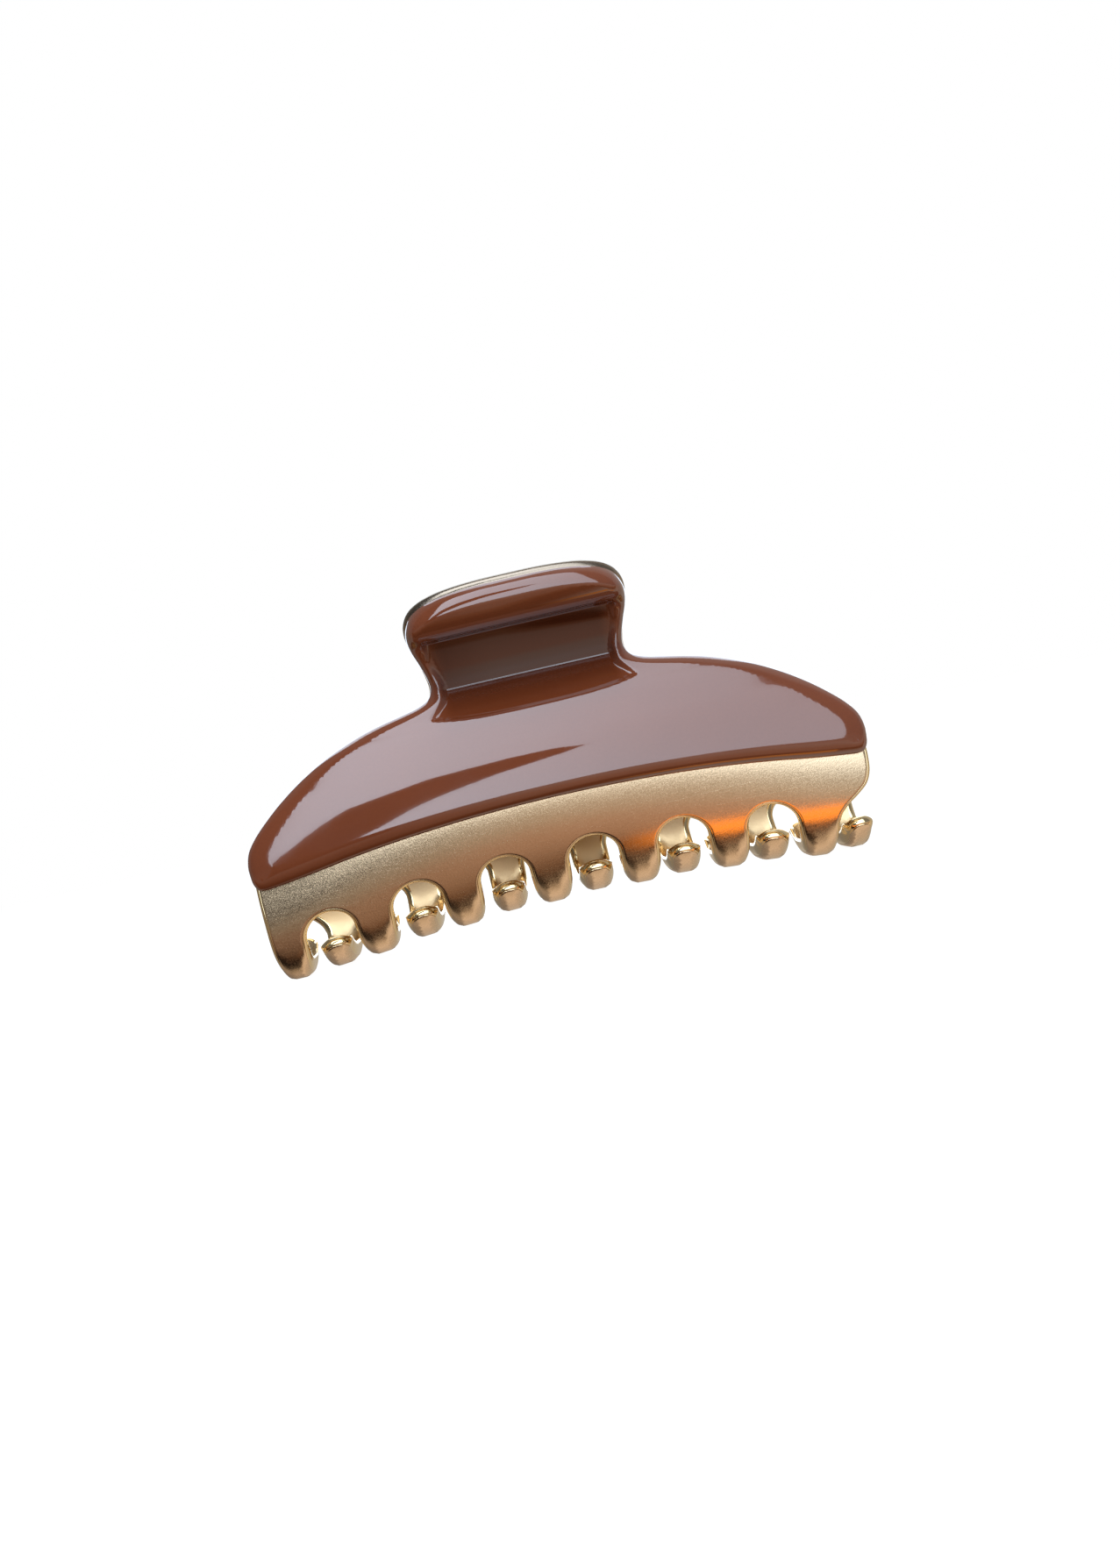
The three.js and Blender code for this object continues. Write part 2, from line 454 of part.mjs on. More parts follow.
add(clip, "hinge_pin", pinGeometry(), steel).position.set(0, 0, HINGE_Z);
add(clip, "torsion_spring", springGeometry(), steel).position.set(0, 0, HINGE_Z);

export default clip;
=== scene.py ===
import math

import bpy
import numpy as np
from mathutils import Matrix, Vector
from mathutils.geometry import delaunay_2d_cdt


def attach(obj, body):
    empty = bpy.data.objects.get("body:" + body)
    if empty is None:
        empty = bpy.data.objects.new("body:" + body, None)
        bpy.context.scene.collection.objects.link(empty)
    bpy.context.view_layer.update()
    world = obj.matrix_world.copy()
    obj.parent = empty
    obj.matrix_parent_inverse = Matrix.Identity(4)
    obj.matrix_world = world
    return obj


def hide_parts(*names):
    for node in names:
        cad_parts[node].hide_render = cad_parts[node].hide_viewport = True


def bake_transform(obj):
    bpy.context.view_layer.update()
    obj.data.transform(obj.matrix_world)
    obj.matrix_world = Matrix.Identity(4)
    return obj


# ---- geometry ----
MM = 0.001

# ---------- driving dimensions (mm) ----------
PLATE = 2.1
TEETH = 7
PITCH = 14.57
TOOTH_SHIFT = -PITCH / 4
TOOTH_HALF_ROOT = 3.285
TOOTH_HALF_TIP = 2.75
TIP_ROUND_S = -9.4
TIP_S = -13.0
ARCH_TOP_S = 16.7
ARCH_R = PITCH / 2 - TOOTH_HALF_ROOT
ARCH_S = ARCH_TOP_S - ARCH_R
FOOT_Y = -2.4
BOW = 4.5
CROWN = 1.7
COVER_GAP = 0.35
COVER_T = 1.9
COVER_EDGE = 3.0
COVER_LIP = 0.25
COVER_LOW_S = 25.8
COVER_LOW_ARC = 0.00125
COVER_INSET = 0.35
HINGE_Z = 39.0
BARREL_R = 3.3
BORE_R = 1.25
PIN_R = 1.0
LUGS = [(-11.0, -8.05), (4.65, 7.6)]
PIN_HALF = 11.35
HEAD_R = 1.75
HEAD_T = 0.8
WIRE_R = 0.6
COIL_R = 2.25
COIL_HALF = 3.55
COIL_TURNS = 4.75

KNOT_S = np.array([-13.0, -3.0, -1.2, 1.2, 3.5, 13, 25, 35, 43, 50, 57, 63, 70])
KNOT_K = np.array([-0.077, -0.077, 0, 0, -0.15, -0.04, -0.0212, -0.0873, 0.0341, 0.1146, 0.0634, -0.0104, -0.037])
DU = 0.05


def smooth(t):
    t = np.clip(t, 0.0, 1.0)
    return t * t * (3 - 2 * t)


def _section():
    n = int(round((KNOT_S[-1] - KNOT_S[0]) / DU))
    s = KNOT_S[0] + np.arange(n + 1) * DU
    k = np.interp(s, KNOT_S, KNOT_K)
    th = np.r_[0, np.cumsum((k[1:] + k[:-1]) / 2 * DU)]
    i0 = int(round(-KNOT_S[0] / DU))
    th = th + math.pi - th[i0]
    y = np.r_[0, np.cumsum((np.cos(th[1:]) + np.cos(th[:-1])) / 2 * DU)]
    z = np.r_[0, np.cumsum((np.sin(th[1:]) + np.sin(th[:-1])) / 2 * DU)]
    # extended in a straight line at both ends
    e = 3.0
    sa = np.r_[s[0] - e, s, s[-1] + e]
    ya = np.r_[y[0] - math.cos(th[0]) * e, y, y[-1] + math.cos(th[-1]) * e]
    za = np.r_[z[0] - math.sin(th[0]) * e, z, z[-1] + math.sin(th[-1]) * e]
    return sa, ya - y[i0] + FOOT_Y, za - z[i0]


SEC = _section()


def rise(x):
    x = np.abs(x)
    k = 2.45 / 1512
    c = 2.45 - k * 38 * 38
    g = 2 * k * 38
    t = np.clip((x - 38) / 8, 0, 1)
    return np.where(x < 38, 2.45 - k * x * x, c - g * 8 * (t - t * t / 2)) - (c - g * 4)


def base(x, s):
    y = np.interp(s, SEC[0], SEC[1]) + BOW * (x / 50) ** 2 * smooth((s - 2) / 34)
    z = np.interp(s, SEC[0], SEC[2]) + rise(x) * (1 - smooth((s - 12) / 28))
    return np.stack([x + 0 * s, y, z], -1)


def normal_at(x, s, e=0.12):
    u = base(x + e, s) - base(x - e, s)
    v = base(x, s + e) - base(x, s - e)
    n = np.cross(u, v)
    return n / np.linalg.norm(n, axis=-1, keepdims=True)


def bend(x, s, n):
    """The point at (x, s) on the front jaw's outer face, moved out by n."""
    x, s = np.asarray(x, float), np.asarray(s, float)
    return base(x, s) + normal_at(x, s) * np.asarray(n, float)[..., None]


# ---------- flat patterns ----------
def resample(pts, step):
    out = []
    for a, b in zip(pts[:-1], pts[1:]):
        n = max(1, round(math.dist(a, b) / step))
        out += [(a[0] + (b[0] - a[0]) * j / n, a[1] + (b[1] - a[1]) * j / n) for j in range(n)]
    return out


def spline(pts, step):
    """Centripetal Catmull-Rom through the points, at equal spacing, without its last point."""
    p = np.array(pts, float)
    p = np.vstack([2 * p[0] - p[1], p, 2 * p[-1] - p[-2]])
    dense = []
    for i in range(1, len(p) - 2):
        a, b, c, d = p[i - 1:i + 3]
        t0 = 0.0
        t1 = t0 + math.sqrt(max(np.linalg.norm(b - a), 1e-9))
        t2 = t1 + math.sqrt(max(np.linalg.norm(c - b), 1e-9))
        t3 = t2 + math.sqrt(max(np.linalg.norm(d - c), 1e-9))
        t = np.linspace(t1, t2, 40, endpoint=False)[:, None]
        A1 = (t1 - t) / (t1 - t0) * a + (t - t0) / (t1 - t0) * b
        A2 = (t2 - t) / (t2 - t1) * b + (t - t1) / (t2 - t1) * c
        A3 = (t3 - t) / (t3 - t2) * c + (t - t2) / (t3 - t2) * d
        B1 = (t2 - t) / (t2 - t0) * A1 + (t - t0) / (t2 - t0) * A2
        B2 = (t3 - t) / (t3 - t1) * A2 + (t - t1) / (t3 - t1) * A3
        dense.append((t2 - t) / (t2 - t1) * B1 + (t - t1) / (t2 - t1) * B2)
    dense = np.vstack(dense + [p[-2][None]])
    L = np.r_[0, np.cumsum(np.linalg.norm(np.diff(dense, axis=0), axis=1))]
    n = max(2, round(L[-1] / step))
    q = np.linspace(0, L[-1], n, endpoint=False)
    return list(zip(np.interp(q, L, dense[:, 0]), np.interp(q, L, dense[:, 1])))


SHOULDER = [(50.1, 27.2), (49.6, 29.2), (48.2, 31.3), (45.4, 34.1), (42.4, 36.7), (39.2, 39.2), (35.8, 41.6), (32.2, 43.7), (28.6, 45.4), (25, 46.6), (21.4, 47.5), (18.6, 48.3), (16.9, 49.3), (16.3, 50.8), (16.5, 52.6), (17.2, 55.2), (17.95, 57.8), (18.25, 60), (17.95, 62), (16.9, 63.9), (15.1, 65.3), (12.4, 66.3), (9.2, 66.85), (5, 67.15), (0, 67.2)]
RIGHT_END = [(TOOTH_SHIFT + 3 * PITCH + TOOTH_HALF_ROOT - 0.02, 9.4), (43.5, 11.3), (44.1, 13.0), (45.3, 14.5), (47.2, 16.0), (48.9, 17.6), (49.8, 19.6), (50.1, 22), (50.1, 24.6), (50.1, 27.2)]


def tooth_x(i):
    return TOOTH_SHIFT + (i - (TEETH - 1) / 2) * PITCH


def crown(x, s):
    """How far the plate is moved inwards at (x, s): the teeth are crowned across their width near the foot."""
    x, s = np.asarray(x, float), np.asarray(s, float)
    i = np.clip(np.round((x - tooth_x(0)) / PITCH), 0, TEETH - 1)
    left, right = np.where(i == 0, -49.55, tooth_x(i) - TOOTH_HALF_TIP), tooth_x(i) + TOOTH_HALF_TIP
    half = (right - left) / 2 + (TOOTH_HALF_ROOT - TOOTH_HALF_TIP) * np.clip((s - TIP_ROUND_S) / (ARCH_S - TIP_ROUND_S), 0, 1)
    u = np.minimum(1.05, np.abs(x - (left + right) / 2) / half)
    return CROWN * smooth((s + 13.2) / 4.5) * (1 - smooth((s - 4) / 9)) * (np.maximum(0, u - 0.3) / 0.7) ** 2


def plate_point(x, s, n):
    return bend(x, s, n - crown(x, s))


def plate_normal(x, s, e=0.04):
    u = plate_point(x + e, s, 0) - plate_point(x - e, s, 0)
    v = plate_point(x, s + e, 0) - plate_point(x, s - e, 0)
    n = np.cross(u, v)
    return n / np.linalg.norm(n, axis=-1, keepdims=True)


def frame_outline(step, arcs):
    P = []
    for i in range(TEETH):
        c, first, last = tooth_x(i), i == 0, i == TEETH - 1
        xl, xr = (-49.55 if first else c - TOOTH_HALF_TIP), c + TOOTH_HALF_TIP
        if first:
            P += resample([(-50.0, 14), (-49.75, 6), (xl, TIP_ROUND_S)], step)
        else:
            P += resample([(c - TOOTH_HALF_ROOT, ARCH_S), (xl, TIP_ROUND_S)], step)
        m, h = (xl + xr) / 2, (xr - xl) / 2
        # the tip: a superellipse at even spacing
        a = np.pi * (1 + np.linspace(0, 1, 400))
        ex = m + h * np.sign(np.cos(a)) * np.abs(np.cos(a)) ** 0.8
        es = TIP_ROUND_S - (TIP_ROUND_S - TIP_S) * np.abs(np.sin(a)) ** 0.8
        L = np.r_[0, np.cumsum(np.hypot(np.diff(ex), np.diff(es)))]
        q = np.linspace(0, L[-1], arcs, endpoint=False)
        P += list(zip(np.interp(q, L, ex), np.interp(q, L, es)))
        if last:
            P += resample([(xr, TIP_ROUND_S), RIGHT_END[0]], step)
            P += spline(RIGHT_END, step)
        else:
            P += resample([(xr, TIP_ROUND_S), (c + TOOTH_HALF_ROOT, ARCH_S)], step)
            g = c + PITCH / 2
            n = round(math.pi * ARCH_R / step)
            P += [(g + ARCH_R * math.cos(t), ARCH_S + ARCH_R * math.sin(t)) for t in (math.pi * (1 - j / n) for j in range(n))]
    P += spline(SHOULDER, step)
    P += spline([(-x, s) for x, s in SHOULDER[::-1]], step)
    P += resample([(-50.1, 27.2), (-50.1, 21), (-50.0, 14)], step)
    return np.array(P)


def cover_low(x):
    return COVER_LOW_S - COVER_LOW_ARC * x * x


def cover_outline(step):
    r, xe = 2.0, 50.1
    e = xe - r * 1.15
    low = [(x, cover_low(x)) for x in np.linspace(-e, e, round(2 * e / step) + 1)][:-1]
    sh = []
    for i, (x, s) in enumerate(SHOULDER):
        a, b = SHOULDER[max(0, i - 1)], SHOULDER[min(len(SHOULDER) - 1, i + 1)]
        t = (b[0] - a[0], b[1] - a[1])
        L, d = math.hypot(*t), COVER_INSET * float(smooth(i / 4))
        sh.append((x - t[1] / L * d, s + t[0] / L * d))
    sh[-1] = (0.0, sh[-1][1])
    corner = [(e, cover_low(e)), (xe - 1.0, cover_low(xe) + 0.45), (xe - 0.25, cover_low(xe) + 1.5), (xe, cover_low(xe) + 3.0)] + sh
    return np.array(low + spline(corner, step) + spline([(-x, s) for x, s in corner[::-1]], step))


def inward(P, span=1):
    t = np.roll(P, -span, 0) - np.roll(P, span, 0)
    t /= np.linalg.norm(t, axis=1, keepdims=True)
    n = np.stack([-t[:, 1], t[:, 0]], 1)
    return n


def inside(poly, x, y):
    x, y = np.asarray(x, float), np.asarray(y, float)
    c = np.zeros(x.shape, bool)
    a, b = poly, np.roll(poly, 1, 0)
    for (ax, ay), (bx, by) in zip(a, b):
        if ay == by:
            continue
        c ^= ((ay > y) != (by > y)) & (x < (bx - ax) * (y - ay) / (by - ay) + ax)
    return c


def edge_distance(poly, x, y):
    x, y = np.asarray(x, float), np.asarray(y, float)
    m = np.full(x.shape, 1e9)
    a, b = poly, np.roll(poly, -1, 0)
    for (ax, ay), (bx, by) in zip(a, b):
        dx, dy = bx - ax, by - ay
        t = np.clip(((x - ax) * dx + (y - ay) * dy) / (dx * dx + dy * dy + 1e-12), 0, 1)
        m = np.minimum(m, (x - ax - t * dx) ** 2 + (y - ay - t * dy) ** 2)
    return np.sqrt(m)


# ---------- cover surface ----------
class Field:
    """A function of (x, s) kept on a fine grid, read back with cubic weights."""

    def __init__(self, x0, x1, s0, s1, h, f):
        self.x0, self.s0, self.h = x0, s0, h
        gx, gs = np.arange(x0, x1 + h, h), np.arange(s0, s1 + h, h)
        self.X, self.S = np.meshgrid(gx, gs, indexing="ij")
        self.v = f(self.X, self.S)

    def blur(self, v, r):
        k = np.exp(-0.5 * (np.arange(-3 * r, 3 * r + 1) / r) ** 2)
        k /= k.sum()
        p = int(3 * r)
        v = np.apply_along_axis(lambda a: np.convolve(np.pad(a, p, "edge"), k, "valid"), 0, v)
        return np.apply_along_axis(lambda a: np.convolve(np.pad(a, p, "edge"), k, "valid"), 1, v)

    def __call__(self, x, s):
        fx, fs = (np.asarray(x, float) - self.x0) / self.h, (np.asarray(s, float) - self.s0) / self.h
        i = np.clip(np.floor(fx).astype(int), 1, self.v.shape[0] - 3)
        j = np.clip(np.floor(fs).astype(int), 1, self.v.shape[1] - 3)
        tx, ts = fx - i, fs - j

        def w(t):
            return [(-t ** 3 + 2 * t ** 2 - t) / 2, (3 * t ** 3 - 5 * t ** 2 + 2) / 2, (-3 * t ** 3 + 4 * t ** 2 + t) / 2, (t ** 3 - t ** 2) / 2]
        wx, ws = w(tx), w(ts)
        return sum(wx[a] * ws[b] * self.v[i + a - 1, j + b - 1] for a in range(4) for b in range(4))


def ridge_s(x):
    return 41.3 + 1.6 * (np.abs(x) / 16) ** 3


def scoop(x, s):
    side = 1 - smooth((np.abs(x) - (12.9 + 3.0 * (1 - smooth((s - 42) / 6.5)) + 1.3 * smooth((s - 50) / 7)) - 0.4) / 1.4)
    low = smooth((s - ridge_s(x)) / 1.3)
    top = 1 - smooth((s - 58.9) / 1.9)
    return side * low * top


SCOOP_FLOOR = [(42.6, 2.03, -0.09), (44, 1.89, -0.1), (45, 1.775, -0.14), (46, 1.61, -0.19), (47, 1.4, -0.235), (48, 1.14, -0.285), (49, 0.83, -0.36), (49.8, 0.52, -0.43), (49.86, 0.515, 0.33), (50.6, 0.71, 0.22), (51.6, 0.88, 0.14), (53, 1.03, 0.08), (55, 1.14, 0.03), (58, 1.13, 0)]


def hermite(knots, s):
    k = np.array(knots, float)
    s = np.asarray(s, float)
    i = np.clip(np.searchsorted(k[:, 0], s) - 1, 0, len(k) - 2)
    a, b = k[i], k[i + 1]
    h = b[..., 0] - a[..., 0]
    t = np.clip((s - a[..., 0]) / h, 0, 1)
    v = a[..., 1] * (2 * t ** 3 - 3 * t * t + 1) + a[..., 2] * h * (t ** 3 - 2 * t * t + t) + b[..., 1] * (3 * t * t - 2 * t ** 3) + b[..., 2] * h * (t ** 3 - t * t)
    return v + np.where(s < k[0, 0], k[0, 2] * (s - k[0, 0]), 0)


def cover_thickness(x, s):
    body = COVER_T + 0.35 * smooth((s - 36) / 6)
    bead = 3.0 - 2.25 * ((s - 63.3) / 6) ** 2
    tab = body + (bead - body) * smooth((s - 56.5) / 5)
    floor = hermite(SCOOP_FLOOR, s)
    k = scoop(x, s)
    return tab * (1 - k) + floor * k


COVER = cover_outline(0.45)
_D = Field(-52, 52, 18, 70, 0.25, lambda X, S: edge_distance(cover_outline(1.0), X, S) * np.where(inside(cover_outline(1.0), X, S), 1, -1))
_b = _D.blur(_D.v, 5)
_k = smooth((_D.v - 1.2) / 1.3)
_D.v = _D.v * (1 - _k) + _b * _k


def cover_n(x, s, d=None):
    if d is None:
        d = _D(x, s)
    t = np.clip(d / (COVER_EDGE * (1 - 0.45 * smooth((s - 57) / 6))), 0, 1)
    return COVER_GAP + COVER_LIP + (cover_thickness(x, s) - COVER_LIP) * np.sqrt(np.clip(1 - (1 - t) ** 2, 0, 1))


def cover_point(x, s, d=None):
    return bend(x, s, cover_n(x, s, d))
# ---- end of geometry ----


# ---------- meshes ----------
class Shell:
    """Vertices, faces and the normal at each face corner, so that curved faces shade as the true surface does."""

    def __init__(self):
        self.v, self.f, self.n, self.m, self.count = [], [], [], [], 0

    def points(self, p):
        p = np.asarray(p, float).reshape(-1, 3)
        self.v.append(p)
        first = self.count
        self.count += len(p)
        return np.arange(first, self.count)

    def face(self, idx, nrm, mat=0):
        self.f.append(tuple(int(i) for i in idx))
        self.n.extend(nrm)
        self.m.append(mat)

    def rings(self, ids, nrm, mats, flip=False):
        """Quads between closed rings: ids [k][i], nrm [k][i], mats[k] for the band from k to k+1."""
        K, n = len(ids), len(ids[0])
        for k in range(K - 1):
            a, b, na, nb, mat = ids[k], ids[k + 1], nrm[k], nrm[k + 1], mats[k]
            for i in range(n):
                j = (i + 1) % n
                q, w = (a[i], a[j], b[j], b[i]), (na[i], na[j], nb[j], nb[i])
                if flip:
                    q, w = q[::-1], w[::-1]
                self.face(q, w, int(mat[i]) if np.ndim(mat) else mat)

    def triangles(self, tris, ids, nrm, mat, flip=False):
        for t in tris:
            t = t[::-1] if flip else t
            self.face([ids[i] for i in t], [nrm[i] for i in t], mat)

    def object(self, name, mats, turned=False):
        v = np.vstack(self.v) * MM
        n = np.array(self.n, float)
        if turned:
            v, n = v * [-1, -1, 1], n * [-1, -1, 1]
        n /= np.linalg.norm(n, axis=1, keepdims=True) + 1e-12
        me = bpy.data.meshes.new(name)
        me.from_pydata([tuple(p) for p in v], [], self.f)
        me.polygons.foreach_set("material_index", self.m)
        me.polygons.foreach_set("use_smooth", [True] * len(self.f))
        for m in mats:
            me.materials.append(m)
        me.update()
        me.normals_split_custom_set([tuple(x) for x in n])
        o = bpy.data.objects.new(name, me)
        bpy.context.scene.collection.objects.link(o)
        return o


def unit(v):
    return v / (np.linalg.norm(v, axis=-1, keepdims=True) + 1e-12)


def ring_normals(P, flip=False):
    """Normals of a tube of closed rings P [k, i, 3] by differences along and across it."""
    along = np.roll(P, -1, 1) - np.roll(P, 1, 1)
    across = np.gradient(P, axis=0)
    n = unit(np.cross(along, across))
    return -n if flip else n


def hexgrid(poly, step, clear):
    x0, s0 = poly.min(0)
    x1, s1 = poly.max(0)
    h = step * math.sqrt(3) / 2
    rows = []
    for r, s in enumerate(np.arange(s0 + h / 2, s1, h)):
        x = np.arange(x0 + (0.25 if r % 2 else 0.75) * step, x1, step)
        rows.append(np.stack([x, 0 * x + s], 1))
    g = np.vstack(rows)
    g = g[inside(poly, g[:, 0], g[:, 1])]
    return g[edge_distance(poly, g[:, 0], g[:, 1]) > clear]


def triangulate(poly, extra, holes=()):
    """Triangles of the closed outline poly with the points extra inside it."""
    loops = [np.asarray(poly)] + [np.asarray(h) for h in holes]
    pts = np.vstack(loops + ([extra] if len(extra) else []))
    edges, at = [], 0
    for L in loops:
        edges += [(at + i, at + (i + 1) % len(L)) for i in range(len(L))]
        at += len(L)
    out = delaunay_2d_cdt([Vector(p) for p in pts], edges, [], 0, 1e-6)
    back = [o[0] if len(o) else -1 for o in out[3]]
    tri = np.array([[back[i] for i in f] for f in out[2]])
    tri = tri[(tri >= 0).all(1)]
    c = pts[tri].mean(1)
    keep = inside(loops[0], c[:, 0], c[:, 1])
    for h in loops[1:]:
        keep &= ~inside(h, c[:, 0], c[:, 1])
    tri = tri[keep]
    a, b, c = pts[tri[:, 0]], pts[tri[:, 1]], pts[tri[:, 2]]
    area = (b[:, 0] - a[:, 0]) * (c[:, 1] - a[:, 1]) - (b[:, 1] - a[:, 1]) * (c[:, 0] - a[:, 0])
    tri = tri[np.abs(area) > 1e-9]
    area = area[np.abs(area) > 1e-9]
    tri[area < 0] = tri[area < 0][:, ::-1]
    return pts, tri


def jaw_plate():
    """The jaw moulding: satin outside, polished edge below the handles, a softer plating inside, with a fine parting
    line where they meet.
    """
    sh = Shell()
    P = frame_outline(0.42, 24)
    N = inward(P, 2)
    r = PLATE / 2
    # the section of the plate's edge, from the outer face round to the inner face: (inset, depth, outside?)
    prof = []
    for a in (90, 82, 76, 71.5):
        prof.append((r * (1 - math.cos(math.radians(a))), -r + r * math.sin(math.radians(a))))
    groove = 1 - smooth((P[:, 1] - 23) / 3)
    for a, sink in ((69.5, 0.012), (67.5, 0.07), (64.5, 0.07), (62.5, 0.0)):
        q = r - sink * groove
        prof.append((r - q * math.cos(math.radians(a)), -r + q * math.sin(math.radians(a))))
    for a in (56, 48, 39, 29, 19, 9, 0, -10, -20, -30, -40, -50, -60, -70, -80, -90):
        prof.append((r * (1 - math.cos(math.radians(a))), -r + r * math.sin(math.radians(a))))
    R3 = np.array([plate_point(*(P + N * np.reshape(d, (-1, 1))).T, n + np.zeros(len(P))) for d, n in prof])
    nrm = ring_normals(R3)
    # the two faces' own normals where the edge has run out
    q = P + N * prof[0][0]
    nrm[0] = plate_normal(q[:, 0], q[:, 1])
    nrm[-1] = -plate_normal(q[:, 0], q[:, 1])
    if (nrm[1] * nrm[0]).sum() < 0:
        nrm[1:-1] *= -1
        flip = True
    else:
        flip = False
    ids = [sh.points(ring) for ring in R3]
    satin = [np.where((P[:, 1] > 24.5), 0, 0 if k < 4 else 1) for k in range(len(prof) - 1)]
    sh.rings(ids, nrm, satin, flip=flip)
    inner = P + N * r
    extra = hexgrid(inner, 0.85, 0.5)
    pts, tri = triangulate(inner, extra)
    B = len(P)
    for side, n, mat in ((1, 0.0, 0), (-1, -PLATE, 2)):
        ring = ids[0] if side > 0 else ids[-1]
        more = sh.points(plate_point(extra[:, 0], extra[:, 1], np.full(len(extra), n)))
        all_ids = np.r_[ring, more]
        nn = plate_normal(pts[:, 0], pts[:, 1]) * side
        sh.triangles(tri, all_ids, nn, mat, flip=side < 0)
    return sh


def cover_shell():
    """The cover: a pillowed shell with a rolled bead and a thumb scoop, glued on the jaw's outer face."""
    sh = Shell()
    P, B = COVER, len(COVER)
    N = inward(P, 2)
    low = 0.04
    wall = [(0.0, low), (0.0, 0.2), (0.0, 0.4), (0.0, COVER_GAP + COVER_LIP)]
    ds = [0.02, 0.06, 0.12, 0.2, 0.31, 0.45, 0.62, 0.82, 1.05, 1.3]
    R3 = [bend(P[:, 0], P[:, 1], np.full(B, n)) for _, n in wall]
    for d in ds:
        q = P + N * d
        R3.append(bend(q[:, 0], q[:, 1], cover_n(q[:, 0], q[:, 1], np.full(B, d))))
    R3 = np.array(R3)
    nrm = ring_normals(R3)
    out = unit(R3[0] - bend(*(P + N * 1.0).T, np.full(B, low)))
    if (nrm[1] * out).sum() < 0:
        nrm, flip = -nrm, True
    else:
        flip = False
    q = P + N * ds[-1]
    nrm[-1] = cover_normal(q[:, 0], q[:, 1])
    ids = [sh.points(r) for r in R3]
    sh.rings(ids, nrm, [0] * (len(R3) - 1), flip=flip)
    wide, fine = hexgrid(q, 0.58, 0.38), hexgrid(q, 0.34, 0.3)
    tab = lambda g: (g[:, 1] > 40) & (np.abs(g[:, 0]) < 20.5)
    extra = np.vstack([wide[~tab(wide)], fine[tab(fine)]])
    pts, tri = triangulate(q, extra)
    more = sh.points(cover_point(extra[:, 0], extra[:, 1]))
    sh.triangles(tri, np.r_[ids[-1], more], np.vstack([nrm[-1], cover_normal(extra[:, 0], extra[:, 1])]), 0)
    # underside
    extra = hexgrid(P, 1.6, 0.8)
    pts, tri = triangulate(P, extra)
    more = sh.points(bend(extra[:, 0], extra[:, 1], np.full(len(extra), low)))
    sh.triangles(tri, np.r_[ids[0], more], -normal_at(pts[:, 0], pts[:, 1]), 0, flip=True)
    return sh


def cover_normal(x, s, e=0.12):
    u = cover_point(x + e, s) - cover_point(x - e, s)
    v = cover_point(x, s + e) - cover_point(x, s - e)
    return unit(np.cross(u, v))


def lug_shell(x0, x1):
    """One hinge lug: a bored barrel with a web back into the jaw, all edges broken."""
    sh = Shell()
    web = [(-7.2, HINGE_Z + 3.6), (-8.6, HINGE_Z - 3.6)]

    def tangent(p, sign):
        dy, dz = -p[0], HINGE_Z - p[1]
        return math.atan2(dz, dy) + math.pi + sign * math.acos(BARREL_R / math.hypot(dy, dz))
    a0, a1 = tangent(web[1], 1), tangent(web[0], -1)
    if a1 < a0:
        a1 += 2 * math.pi
    pts = [web[0], web[1]]
    last = (BARREL_R * math.cos(a0), HINGE_Z + BARREL_R * math.sin(a0))
    pts += resample([web[1], last], 0.6)[1:]
    n = 64
    pts += [(BARREL_R * math.cos(a0 + (a1 - a0) * i / n), HINGE_Z + BARREL_R * math.sin(a0 + (a1 - a0) * i / n)) for i in range(n + 1)]
    pts += resample([pts[-1], web[0]], 0.6)[1:]
    P = np.array(pts)
    N = inward(P)
    b = 0.28
    steps = [(b * (1 - math.sin(math.radians(a))), b * (1 - math.cos(math.radians(a)))) for a in (0, 22, 45, 67, 90)]

    def ring(inset, x):
        q = P + N * inset
        return np.stack([np.full(len(q), x), q[:, 0], q[:, 1]], 1)
    R = [ring(i, x0 + d) for i, d in steps] + [ring(i, x1 - d) for i, d in steps[::-1]]
    R = np.array(R)
    nrm = ring_normals(R)
    c = R.mean((0, 1))
    if (nrm[5] * (R[5] - c)).sum() < 0:
        nrm, flip = -nrm, True
    else:
        flip = False
    ids = [sh.points(r) for r in R]
    sh.rings(ids, nrm, [0] * (len(R) - 1), flip=flip)
    m = 40
    t = np.arange(m) * 2 * math.pi / m
    ch = 0.12
    hole = [(BORE_R + ch, 0.0), (BORE_R, ch)]
    circ = lambda rad, x: np.stack([np.full(m, x), rad * np.cos(t), HINGE_Z + rad * np.sin(t)], 1)
    H = [circ(BORE_R + ch, x0), circ(BORE_R, x0 + ch), circ(BORE_R, x1 - ch), circ(BORE_R + ch, x1)]
    hid = [sh.points(h) for h in H]
    radial = np.stack([0 * t, -np.cos(t), -np.sin(t)], 1)
    sh.rings(hid, [radial] * 4, [0] * 3, flip=True)
    for side, x, outer, hole_ids in ((-1, x0, ids[0], hid[0]), (1, x1, ids[-1], hid[-1])):
        loop = P + N * b
        h = np.stack([(BORE_R + ch) * np.cos(t), HINGE_Z + (BORE_R + ch) * np.sin(t)], 1)
        q, tri = triangulate(loop, np.zeros((0, 2)), [h])
        sh.triangles(tri, np.r_[outer, hole_ids], np.tile([side, 0, 0], (len(q), 1)).astype(float), 0, flip=side < 0)
    return sh


